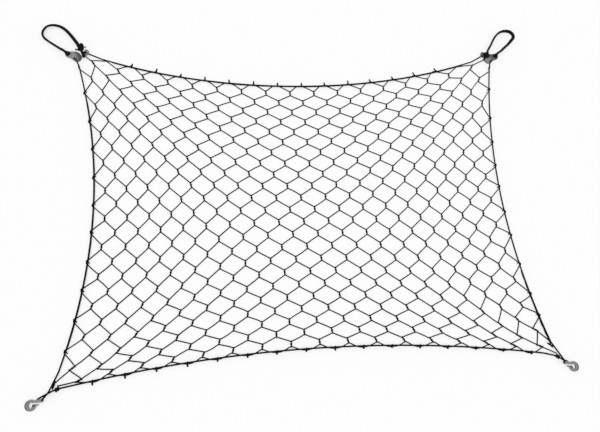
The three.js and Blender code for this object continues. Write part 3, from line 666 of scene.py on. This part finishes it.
def leg_rings(flat, legs, nubs, axes, sizes, random):
    """Netting legs: cubics from joint to joint that set out a little along the joint, slightly slack.

    Each starts beside the middle of its joint, on the side that it leaves to. At an edge joint it
    starts just past the border cord instead, and sets out along the cord, except in the corners.
    """
    span = flat[legs[:, 1]] - flat[legs[:, 0]]
    length = np.linalg.norm(span, axis=1, keepdims=True)
    aim = span / length
    on_cord = np.isin(np.arange(len(flat)), nubs[:, 0])
    on_cord &= np.abs(flat[:, 0] * 1000 - panel_middle()[0]) < EDGE_LEGS["to_x"]
    share = LEG["along_joint"]
    places, pulls = [], []
    for here, way in ((legs[:, 0], aim), (legs[:, 1], -aim)):
        across = square_to(axes[here])
        across = across * np.sign(np.einsum("ij,ij->i", way, across))[:, None]
        edge = on_cord[here][:, None]
        back = np.where(edge, EDGE_LEGS["past_cord"] / 1000, sizes.ply_offset)
        pull = np.where(edge, EDGE_LEGS["pull"] * across, (1 - share) * way + share * axes[here])
        places.append(flat[here] + across * sizes.ply_offset * LEG["beside"] - axes[here] * back)
        pulls.append(length * pull)
    t = np.linspace(0, 1, 9)[:, None]
    line = (
        places[0][:, None] * (2 * t**3 - 3 * t**2 + 1)
        + places[1][:, None] * (3 * t**2 - 2 * t**3)
        + pulls[0][:, None] * (t**3 - 2 * t**2 + t)
        - pulls[1][:, None] * (t**3 - t**2)
    )
    slack = random.normal(0, LEG["slack"] / 1000, (len(legs), 1, 1))
    line = line + square_to(aim)[:, None] * slack * np.sin(np.pi * t)
    radius = sizes.leg_radius * random.uniform(*LEG["thickness"], (len(legs), 1))
    return tube(level_frames, with_height(line, radius + LEG["clear"] / 1000), radius, radius, sides=6)


def joint_rings(flat, joints, sizes):
    """Netting joints: two plies that turn once round each other, flattened to lie on the floor."""
    start, end = flat[joints[:, 0]], flat[joints[:, 1]]
    run = unit(end - start)
    overrun, roll = JOINT["overrun"] / 1000, JOINT["roll"] / 1000
    start, end = start - run * overrun, end + run * overrun
    t = np.linspace(0, 1, 9)[:, None]
    line = start[:, None] + (end - start)[:, None] * t
    tubes = []
    for hand in (-1, 1):
        beside = square_to(run)[:, None] * hand * sizes.ply_offset * np.cos(2 * np.pi * t)
        height = sizes.ply_radius + roll + hand * roll * np.sin(2 * np.pi * t[:, 0])
        middle = with_height(line + beside, height)
        tubes.append(tube(level_frames, middle, sizes.ply_radius, sizes.ply_radius, sides=5))
    return np.concatenate(tubes)


def nub_rings(flat, nubs, sizes, random):
    """Edge joints: one ply over the border cord and one under it, joined again in a cut end past it."""
    root = flat[nubs[:, 0]]
    span = flat[nubs[:, 1]] - root
    run = unit(span)
    x = root[:, 0] * 1000 - panel_middle()[0]
    lean, share = (
        np.where(run[:, 1] > 0, *(np.interp(x, EDGE_JOINTS[edge]["x"], EDGE_JOINTS[edge][what])
                                  for edge in ("top", "bottom")))
        for what in ("lean", "length")
    )
    lean = random.normal(0, EDGE_TIPS["lean"], len(nubs)) + lean
    run = unit(run + square_to(run) * lean[:, None])
    reach = np.linalg.norm(span, axis=1) * random.uniform(*EDGE_TIPS["lengths"], len(nubs)) * share
    reach = np.maximum(reach * 1000, EDGE_TIPS["shortest"])
    past = np.linspace(0, 1, 4)[1:]
    tubes = []
    for ply in EDGE_PLIES:
        over_cord = np.broadcast_to(ply["out"], (len(nubs), len(ply["out"])))
        last = ply["out"][-1]
        distance = np.hstack([over_cord, last + (reach[:, None] * ply["length"] - last) * past]) / 1000
        tip = np.interp(past, [0, 0.4, 1], [ply["height"][-1], *EDGE_TIPS["height"]])
        height = np.array([*ply["height"], *tip]) / 1000
        beside = square_to(run)[:, None] * ply["beside"] / 1000
        middle = with_height(root[:, None] + run[:, None] * distance[..., None] + beside, height)
        count = len(height)
        ends = np.interp(np.arange(count), [0, 1, count - 2, count - 1], [0.55, 1, 1, 0.5])
        radius = sizes.ply_radius * EDGE_TIPS["thickness"] * ends
        tubes.append(tube(level_frames, middle, radius, radius, sides=7))
    return np.concatenate(tubes)


def side_joint_rings(flat, sides, sizes):
    """Joints on a side cord: one ply bulges past it underneath, and one wraps over it."""
    start, span = flat[sides[:, 0]][:, None], flat[sides[:, 1]] - flat[sides[:, 0]]
    out = square_to(unit(span))
    out = (out * np.sign(out[:, :1] * start[:, 0, :1]))[:, None]
    t = np.linspace(0, 1, 10)[:, None]
    swell = np.sin(np.pi * t)
    low, rise, bulge, sweep = (SIDE_JOINT[key] / 1000 for key in ("low", "rise", "bulge", "sweep"))
    top = (CORD_LEVEL + CORD_RADIUS) / 1000 + sizes.ply_radius * SIDE_JOINT["over"]
    overrun = SIDE_JOINT["overrun"]
    first, last = SIDE_JOINT["wrap"]
    along = start + span[:, None] * (t * (1 + 2 * overrun) - overrun)
    wrap = start + span[:, None] * (first + (last - first) * t)
    under = with_height(along + out * bulge * swell, low + rise * swell[:, 0])
    arch = swell[:, 0] ** SIDE_JOINT["arch"]
    over = with_height(wrap - out * sweep * np.cos(np.pi * t), low + (top - low) * arch)
    return np.concatenate([
        tube(level_frames, middle, sizes.ply_radius, sizes.ply_radius, sides=6) for middle in (under, over)])


def add_selvedges(surface):
    """The netting's edge twine beside the border cord, weaving a little towards it and away."""
    t = np.linspace(0, 1, 120)
    for selvedge in SELVEDGES:
        edge, radius = EDGES[selvedge["edge"]], selvedge["radius"]
        line = edge_stations(edge, selvedge["from"], selvedge["to"], len(t))
        beside = CORD_RADIUS + radius * (SWAY["beside"] + SWAY["sway"] * np.sin(SWAY["sways"] * t))
        line[:, :2] += np.array(edge["inward"]) * beside[:, None]
        line[:, 2] = CORD_LEVEL + SWAY["level"] + SWAY["rise"] * np.sin(SWAY["rises"] * t)
        size = np.interp(t, [0, 0.02, 0.98, 1], [0.5, 1, 1, 0.5]) * radius / 1000
        surface.add(tube(level_frames, on_panel(line), size, size, sides=7))


def make_netting():
    """The netting as two pieces: its legs, and its joints with the turns and twine along the border cord."""
    sizes = bpy.context.scene.net_sizes
    random = np.random.default_rng(7)
    flat, legs, joints, sides, nubs = net_bars()
    axes = outward_axes(flat, np.concatenate([joints, sides]), nubs)
    rings = leg_rings(flat, legs, nubs, axes, sizes, random)
    Surface().add(rings).piece("netting_legs", "black_yarn", "netting")
    surface = Surface().add(joint_rings(flat, joints, sizes)).add(side_joint_rings(flat, sides, sizes))
    surface.add(nub_rings(flat, nubs, sizes, random))
    add_selvedges(surface)
    surface.piece("netting_joints", "black_yarn", "netting")


# ---------- Border cords ----------


def top_cord_line():
    """Down out of the left eye's hole, along the bowed top edge and up into the right one's."""
    under = EYE["low"] - GAP - CORD_RADIUS
    top = EYE["low"] + EYE["height"] - EYE["end_below"]
    edge = EDGES["top"]

    def end(place, join_x):
        x, y = place["at"]
        out = place["side"] * (EYE["half"][0] + EYE["level_by"])
        join = edge_point(edge, join_x)
        leave = (x + out, y - place["drop"], under)
        return rounded([(x, y, top), (x, y, under), leave, (*join, CORD_LEVEL)], CORD_BEND)

    join, run = TOP_CORD["join"], edge_stations(edge, *TOP_CORD["run"], 60)
    return np.concatenate([end(EYES["left"], -join), run, end(EYES["right"], join)[::-1]])


def side_cord_line():
    """Out of the left toggle, down to its hook, round in it, along the bottom, and the same on the right."""
    over = TOGGLE["height"] + GAP + CORD_RADIUS
    above = HOOK["height"] + GAP + CORD_RADIUS
    below = HOOK["hollow"] - GAP - CORD_RADIUS

    def start(side):
        x, y = TOGGLE["hole"]
        join = edge_point(EDGES[side], SIDE_CORD["join"])
        own = placed(TOGGLES[side], [(x, y, TOGGLE["cord_end"]), (x, y, over), (*TOGGLE["over_edge"], over)])
        return rounded([*own, (*join, CORD_LEVEL)], CORD_BEND)

    def corner(side):
        place, knot, hole = HOOKS[side], CORNER_KNOTS[side], HOOK["hole"]
        crossing = place["crossing"]
        low_turn = (HOOK["turn_x"], HOOK["turn_low"], below)
        high_turn = (HOOK["turn_x"], HOOK["turn_high"], below)
        into = placed(place, [(*crossing, above), (*hole, above), (*hole, below), low_turn])
        out = placed(place, [(*hole, below), low_turn, high_turn, (*crossing, below)])
        down, back = rounded(into, CORD_BEND), rounded(out, HOOK["bend"])
        direction = turned([(place["side"], 0, 0)], knot["angle"])[0]
        through = [np.array([*knot["at"], CORD_LEVEL]) + direction * reach
                   for reach in (-knot["reach"], knot["reach"])]
        return np.concatenate([down[:-1], back[1:], through])

    left, bottom, right = (edge_stations(EDGES[edge], *SIDE_CORD[edge], count)
                           for edge, count in (("left", 50), ("bottom", 60), ("right", 50)))
    return np.concatenate([
        start("left"), left, corner("left"), bottom, corner("right")[::-1], right, start("right")[::-1]])


def make_border_cords():
    """The two border cords as round braid."""
    radius = bpy.context.scene.net_sizes.cord_radius
    for name, node, line, count in (
        ("border_cord_top", "top_cord", top_cord_line(), 800),
        ("border_cord_sides", "side_cord", side_cord_line(), 2200),
    ):
        middle = on_panel(evenly(line, count))
        middle[1:-1] = (middle[:-2] + middle[1:-1] + middle[2:]) / 3
        Surface().add(tube(carried_frames, middle, radius, radius, sides=14)).piece(name, "black_cord", node)


# ---------- Elastic loops ----------


def make_loop(side):
    """Flat elastic along its route, leaning from flat to on edge, and lifted to stay on the floor."""
    count = ELASTIC["stations"]
    half_width, half_height = ELASTIC["width"] / 2000, ELASTIC["thickness"] / 2000
    route = on_panel(smooth(LOOP_ROUTES[side], count))
    leans = LOOP_LEANS[side]
    lean = np.radians(np.interp(np.linspace(0, 1, count), leans["share"], leans["degrees"]))
    spread = ELASTIC["lean_spread"]
    window = 2 * spread + 1
    lean = np.convolve(np.pad(lean, spread, "edge"), np.ones(window) / window, "valid")
    rise = half_width * np.sin(lean) + half_height * np.abs(np.cos(lean)) + ELASTIC["clear"] / 1000
    middle = route.copy()
    middle[:, 2] = np.maximum(middle[:, 2], rise)
    across, up = level_frames(middle)
    leaned = across * np.cos(lean)[:, None] + up * np.sin(lean)[:, None]
    raised = up * np.cos(lean)[:, None] - across * np.sin(lean)[:, None]
    rings = swept(middle, leaned, raised, half_width, half_height, sides=20, squareness=0.55)
    made = Surface().add(rings).piece(f"elastic_loop_{side}", "black_elastic", f"loop_{side}")


# ---------- Knots ----------


def add_knot(surface, knot):
    """A barrel knot: its turns about its long axis, a strand that crosses over them and a filled middle.

    The turns follow (w·cos a, y, h·sin a) with a = 2π · turns · s and y from end to end; w and h shrink
    towards the ends, so the barrel is fullest in its middle. The strand goes from end to end over the
    top, on a half ellipse, and sways to one side and the other. The middle is an ellipsoid.
    """
    half_x, half_y, half_z = knot["half"]
    inset = knot["strand"] * KNOT["inset"]
    s = np.linspace(0, 1, int(KNOT["turn_stations"] * knot["turns"]))
    full = np.sqrt(1 - KNOT["narrow"] * np.abs(2 * s - 1) ** 3)
    angle = 2 * np.pi * knot["turns"] * s
    turns = np.column_stack([
        (half_x - inset) * full * np.cos(angle),
        (half_y - inset) * (2 * s - 1),
        (half_z - inset) * full * np.sin(angle),
    ])
    s = np.linspace(-1, 1, 20)
    over = np.column_stack([
        half_x * 0.35 * np.sin(2.2 * s),
        (half_y - inset * 0.8) * s,
        (half_z - inset * 0.55) * np.sqrt(1.02 - s**2),
    ])
    s = np.linspace(-1, 1, 14)
    core = np.column_stack([0 * s, s * half_y * KNOT["core_length"], 0 * s])
    turns, over, core = (on_panel(turned(line, knot["turn"]) + knot["at"]) for line in (turns, over, core))
    tight = KNOT["tight"]
    for middle in (turns, over):
        share = np.linspace(0, 1, len(middle))
        radius = knot["strand"] / 1000 * np.interp(share, [0, 0.06, 0.94, 1], [0.5, tight, tight, 0.5])
        surface.add(tube(carried_frames, middle, radius, radius * KNOT["flat"], sides=12))
    size = np.sqrt(1.03 - s**2) * KNOT["core"] / 1000
    surface.add(tube(level_frames, core, half_x * size, half_z * size, sides=14))


def add_tail(surface, points, radius):
    """A loose end of cord with a blunt melted tip."""
    size = radius * np.interp(np.arange(14), [0, 10, 11, 12, 13], [1, 1, 1.04, 0.92, 0.5])
    surface.add(tube(carried_frames, on_panel(smooth(points, 14)), size, size, sides=14))


def make_corner_knot(side):
    """Turns of twine pulled tight round the border cord, a strand across them, and a short end."""
    knot = CORNER_KNOTS[side]
    mirror = 1 if side == "left" else -1
    s = np.linspace(0, 1, 60)
    angle = 2 * np.pi * CORNER_TIE["turns"] * s
    radius = CORD_RADIUS + CORNER_TIE["clear"]
    along = (2 * s - 1) * CORNER_TIE["half"]
    turns = np.column_stack([along, radius * np.cos(angle), radius * np.sin(angle)])
    s = np.linspace(-1, 1, 16)
    crossing = np.column_stack([s, s, np.sqrt(1 - (0.75 * s) ** 2)]) * CORNER_TIE["across"]
    strand = CORNER_TIE["strand"] / 1000
    surface = Surface()
    for line in (turns, crossing):
        middle = on_panel(turned(line * (mirror, 1, 1), knot["angle"]) + (*knot["at"], CORD_LEVEL))
        surface.add(tube(carried_frames, middle, strand, strand, sides=9))
    x, y = knot["at"]
    end = [(x + mirror, y - 1, 6), (x - mirror, y - 3.4, 3.8), (x - mirror * 2, y - 5, 2)]
    add_tail(surface, end, bpy.context.scene.net_sizes.ply_radius)
    surface.piece(f"corner_tie_{side}", "black_cord", f"corner_knot_{side}")


# ---------- Moulded pieces ----------


def soft_step(value, low, high):
    """0 below low, 1 above high and 3t² - 2t³ between them."""
    t = np.clip((value - low) / (high - low), 0, 1)
    return t * t * (3 - 2 * t)


def arc(centre, half, first, last, count):
    """Points on an ellipse between two angles in degrees."""
    angle = np.radians(np.linspace(first, last, count))
    return np.column_stack([centre[0] + half[0] * np.cos(angle), centre[1] + half[1] * np.sin(angle)])


def quadratic(start, control, end, count):
    """A quadratic Bezier curve."""
    start, control, end = (np.array(point, float) for point in (start, control, end))
    t = np.linspace(0, 1, count)[:, None]
    return start * (1 - t) ** 2 + 2 * control * t * (1 - t) + end * t**2


def rail(at, *parts):
    """A flat line at the parameters at. Each part has its points and the parameters of its two ends."""
    known = np.concatenate([np.linspace(first, last, len(points)) for points, first, last in parts])
    line = np.vstack([points for points, _, _ in parts])
    return np.column_stack([np.interp(at, known, line[:, axis]) for axis in range(2)])


def hook_rails():
    """The hook's inner and outer sides from the nib, round the ring and out along the shank.

    Both are lines over the same parameter, so the same stations face each other.
    """
    low = np.degrees(np.arcsin(HOOK["mouth_low"] / HOOK["eye"][1]))
    high = np.degrees(np.arcsin(HOOK["mouth_high"] / HOOK["eye"][1]))
    top, mouth, straight = HOOK["shank_top"], HOOK["mouth_high"], HOOK["straight_from"]
    tip_round, end_round = HOOK["tip_round"], HOOK["end_round"]
    nib = (HOOK["tip"] - tip_round, (HOOK["mouth_low"] + HOOK["tip_low"]) / 2)
    nib_half = (tip_round, (HOOK["mouth_low"] - HOOK["tip_low"]) / 2)
    end = (HOOK["shank_end"] - end_round, (top + mouth) / 2)
    end_half = (end_round, (top - mouth) / 2)
    ring = arc((0, 0), (HOOK["outer"], HOOK["outer"]), -8, HOOK["ring_end"] - 360, 33)
    at = np.concatenate([np.linspace(0, 0.9, 8), np.linspace(1, 12.9, 116), np.linspace(13, 14, 12)])
    inner = rail(
        at,
        (arc(nib, nib_half, 4, 90, 6), 0, 1),
        (arc((0, 0), HOOK["eye"], low, high - 360, 33), 3, 11),
        ([(straight, mouth)], 12, 12),
        (arc(end, end_half, -90, -4, 9), 13, 14),
    )
    outer = rail(
        at,
        (arc(nib, nib_half, -4, -90, 6), 0, 1),
        (ring, 2, 10),
        (quadratic(ring[-1], HOOK["dip"], (straight, top), 9)[1:], 10.225, 11.8),
        (arc(end, end_half, 90, 4, 9), 13, 14),
    )
    return at, inner, outer


def bar_between(inner, outer, low, high, sides, squareness):
    """Rings of a rounded bar between two flat rails, from low to high."""
    flat = np.zeros(len(inner))
    middle = np.column_stack([(inner + outer) / 2, (low + high) / 2 + flat])
    span = np.column_stack([outer - inner, flat])
    up = np.broadcast_to((0.0, 0.0, 1.0), middle.shape)
    width = np.linalg.norm(span, axis=1) / 2
    return swept(middle, unit(span), up, width, (high - low) / 2, sides, squareness)


def make_hook(side):
    """Open ring hook: a rounded bar swept between its two rails, with a shallow pocket beside the eye, and
    painted shade and a painted highlight in its colour.
    """
    place = HOOKS[side]
    at, inner, outer = hook_rails()
    low, high, squareness = (np.interp(at, *HOOK_BAR[key]) for key in ("low", "high", "squareness"))
    rings = bar_between(inner, outer, low, high, 36, squareness)
    x, y, z = np.moveaxis(rings, -1, 0)
    nib_side = (at < 6)[:, None]
    from_pocket = np.linalg.norm((rings[..., :2] - POCKET["at"]) / POCKET["half"], axis=-1)
    pocket = (1 - soft_step(from_pocket, 0.6, 1.15)) * soft_step(z, 3.2, 4.4) * nib_side
    rings[..., 2] = z - POCKET["depth"] * pocket
    # Painted shade on the ring's crown away from the shank, in the pocket and at the foot, and a painted
    # highlight along the ring's top by the shank.
    across = np.linalg.norm(rings[..., :2], axis=-1) / HOOK["outer"]
    crown_shade = soft_step(across, 0.55, 0.9) * soft_step(-x, 1.5, 7.0)
    foot_shade = 0.3 * soft_step(-y, 4.0, 9.5) * soft_step(across, 0.7, 1.0)
    rim_highlight = 0.15 * soft_step(y, 6.5, 9.5) * (x < 6)
    painted_light = np.clip(1 - 0.9 * crown_shade - foot_shade - 1.15 * pocket + rim_highlight, 0, 1.2)
    rings = on_panel(placed(place, rings))
    Surface().add(rings, painted_light).piece(f"ring_hook_{side}", "grey_nylon", f"hook_{side}")


def toggle_outline(count):
    """The toggle seen from above: a narrow round end, a straight back and a flared end with a cut corner."""
    outline = np.vstack([
        quadratic((1.5, -4), (-4.5, -4), (-10.2, 2.3), 20),
        quadratic((-10.2, 2.3), (-16.2, 8.6), (-23.1, 9.7), 20)[1:],
        arc((-22, 15.8), (6.2, 6.2), -100, -270, 20),
        [(-2, 23), (6, 18)],
        quadratic((10.8, 9.5), (9.5, -2.5), (1.5, -4), 20),
    ])
    even = evenly(np.column_stack([outline, np.zeros(len(outline))]), count + 1)[:-1, :2]
    wrapped = np.concatenate([even[-3:], even, even[:3]])
    return np.mean([wrapped[shift:shift + count] for shift in range(7)], axis=0)


def make_toggle(side):
    """Moulded toggle: its outline drawn in towards a middle point in rings, over a rounded edge profile.

    Height falls at the lug, towards the flared end, and into the hole that the side cord leaves.
    """
    place = TOGGLES[side]
    outline = toggle_outline(110)
    hub = np.array(TOGGLE["hub"])
    share, level = np.array([
        (0.03, 0), (0.4, 0), (0.8, 0), (0.94, 0), (0.985, 0.05), (1, 0.18), (1, 0.62), (0.99, 0.78),
        (0.97, 0.89), (0.94, 0.96), (0.9, 0.99),
        *((flat_top, 1) for flat_top in (
            0.85, 0.79, 0.73, 0.67, 0.61, 0.55, 0.49, 0.43, 0.36, 0.28, 0.2, 0.12, 0.03)),
    ]).T
    flat = hub + (outline[None] - hub) * share[:, None, None]
    x, y = flat[..., 0], flat[..., 1]
    lug = soft_step(-x, TOGGLE["lug_from"], TOGGLE["lug_to"])
    flare = soft_step(x + 0.3 * y, -3.0, 8.0)
    lug_drop = TOGGLE["height"] - TOGGLE["lug_height"]
    height = TOGGLE["height"] - lug_drop * lug - TOGGLE["flare_drop"] * flare
    hole = np.linalg.norm(flat - TOGGLE["hole"], axis=-1)
    sink = 1 - soft_step(hole, *TOGGLE["hole_rim"])
    z = height * level[:, None] - TOGGLE["hole_depth"] * sink * (level[:, None] > 0.8)
    top = (level[:, None] > 0.5).astype(float)
    # Painted shade: on the top towards the end set in the toggle's table, in the cord's hole, and on the
    # toggle's sides.
    painted_shade = place["painted_shade"]
    dark = painted_shade["share"] * soft_step(flat @ np.array(painted_shade["towards"]), *painted_shade["over"])
    painted_light = 1 - top * np.clip(dark + sink, 0, 1) - 0.15 * (1 - top)
    rings = on_panel(placed(place, np.concatenate([flat, z[..., None]], -1)))
    Surface().add(rings, np.clip(painted_light, 0, 1)).piece(f"corner_toggle_{side}", "grey_nylon", f"toggle_{side}")


def make_cord_eye(side):
    """Small oval eye: a rounded bar between two ellipses."""
    place = EYES[side]
    inner = arc((0, 0), EYE["hole"], 0, 352.5, 48)
    outer = arc((0, 0), EYE["half"], 0, 352.5, 48)
    top = EYE["low"] + EYE["height"]
    rings = on_panel(placed(place, bar_between(inner, outer, EYE["low"], top, sides=16, squareness=0.7)))
    # Painted shade over the whole eye, as much as its table gives.
    painted_light = np.full(rings.shape[:-1], place["painted_light"])
    Surface().add(rings, painted_light, closed=True).piece(f"small_eye_{side}", "grey_nylon", f"cord_eye_{side}")


# ---------- Operators ----------


class NET_OT_stage(bpy.types.Operator):
    """Camera, floor, lights and view settings"""

    bl_idname = "dogs_net.stage"
    bl_label = "Stage"

    def execute(self, context):
        scene = context.scene
        camera = new_object("camera", bpy.data.cameras.new("camera"))
        scene.camera = camera
        camera.data.lens = CAMERA["lens"]
        azimuth, elevation, roll = np.radians([CAMERA[key] for key in ("azimuth", "elevation", "roll")])
        place = Matrix.Translation(on_panel([(*CAMERA["target"], 0)])[0])
        for angle, axis in ((-azimuth, "Z"), (np.pi / 2 - elevation, "X"), (roll, "Z")):
            place = place @ Matrix.Rotation(angle, 4, axis)
        camera.matrix_world = place @ Matrix.Translation((0, 0, CAMERA["distance"]))

        floor_mesh = bpy.data.meshes.new("floor")
        corners = [(-1, -1), (1, -1), (1, 1), (-1, 1)]
        reach = FLOOR["reach"]
        floor_mesh.from_pydata([(x * reach, y * reach, 0) for x, y in corners], [], [(0, 1, 2, 3)])
        floor_mesh.materials.append(floor_material("pale_floor", scene.net_colours.floor))
        new_object("floor", floor_mesh)

        world = bpy.data.worlds.new("soft_room")
        scene.world = world
        world.use_nodes = True
        background = world.node_tree.nodes["Background"]
        feed(world.node_tree, background, {"Color": (1, 1, 1, 1), "Strength": LIGHT["world"]})
        sun = new_object("soft_lamp", bpy.data.lights.new("soft_lamp", "SUN"))
        sun.data.energy = LIGHT["sun"]
        sun.data.angle = np.radians(LIGHT["sun_spread"])
        sun.rotation_euler = (*np.radians(LIGHT["sun_turn"]), 0)
        scene.view_settings.view_transform = "Standard"
        return {"FINISHED"}


class NET_OT_loops(bpy.types.Operator):
    """The two elastic loops"""

    bl_idname = "dogs_net.loops"
    bl_label = "Elastic loops"

    def execute(self, context):
        for side in LOOP_ROUTES:
            make_loop(side)
        return {"FINISHED"}


class NET_OT_netting(bpy.types.Operator):
    """The netting's legs and joints"""

    bl_idname = "dogs_net.netting"
    bl_label = "Netting"

    def execute(self, context):
        make_netting()
        return {"FINISHED"}


class NET_OT_border(bpy.types.Operator):
    """The border cords"""

    bl_idname = "dogs_net.border"
    bl_label = "Border cords"

    def execute(self, context):
        make_border_cords()
        return {"FINISHED"}


class NET_OT_knots(bpy.types.Operator):
    """The knots at the four corners, with their loose ends"""

    bl_idname = "dogs_net.knots"
    bl_label = "Knots"

    def execute(self, context):
        for side in ("left", "right"):
            surface = Surface()
            add_knot(surface, BIG_KNOTS[side])
            for tail in TAILS[side]:
                add_tail(surface, tail["line"], tail["radius"] / 1000)
            surface.piece(f"big_knot_{side}", "black_elastic", f"loop_knot_{side}")
            surface = Surface()
            add_knot(surface, END_KNOTS[side])
            surface.piece(f"end_knot_turns_{side}", "black_cord", f"end_knot_{side}")
            make_corner_knot(side)
        return {"FINISHED"}


class NET_OT_toggles(bpy.types.Operator):
    """The moulded toggles and small eyes at the top corners"""

    bl_idname = "dogs_net.toggles"
    bl_label = "Toggles and eyes"

    def execute(self, context):
        for side in TOGGLES:
            make_toggle(side)
            make_cord_eye(side)
        return {"FINISHED"}


class NET_OT_hooks(bpy.types.Operator):
    """The ring hooks at the bottom corners"""

    bl_idname = "dogs_net.hooks"
    bl_label = "Ring hooks"

    def execute(self, context):
        for side in HOOKS:
            make_hook(side)
        return {"FINISHED"}


OPERATORS = (
    NET_OT_stage, NET_OT_loops, NET_OT_netting, NET_OT_border, NET_OT_knots, NET_OT_toggles, NET_OT_hooks)


class NET_PT_parts(bpy.types.Panel):
    """Lists the net's operators in the sidebar"""

    bl_label = "Dog barrier net"
    bl_idname = "NET_PT_parts"
    bl_space_type = "VIEW_3D"
    bl_region_type = "UI"
    bl_category = "Net"

    def draw(self, context):
        for operator in OPERATORS:
            self.layout.operator(operator.bl_idname)


CLASSES = (NetSizes, NetColours, *OPERATORS, NET_PT_parts)


def register():
    for cls in CLASSES:
        bpy.utils.register_class(cls)
    bpy.types.Scene.net_sizes = PointerProperty(type=NetSizes)
    bpy.types.Scene.net_colours = PointerProperty(type=NetColours)


def unregister():
    del bpy.types.Scene.net_colours
    del bpy.types.Scene.net_sizes
    for cls in reversed(CLASSES):
        bpy.utils.unregister_class(cls)


def main():
    register()
    bpy.ops.dogs_net.stage()
    bpy.ops.dogs_net.loops()
    bpy.ops.dogs_net.netting()
    bpy.ops.dogs_net.border()
    bpy.ops.dogs_net.knots()
    bpy.ops.dogs_net.toggles()
    bpy.ops.dogs_net.hooks()
    bpy.context.view_layer.update()


if __name__ == "__main__":
    main()
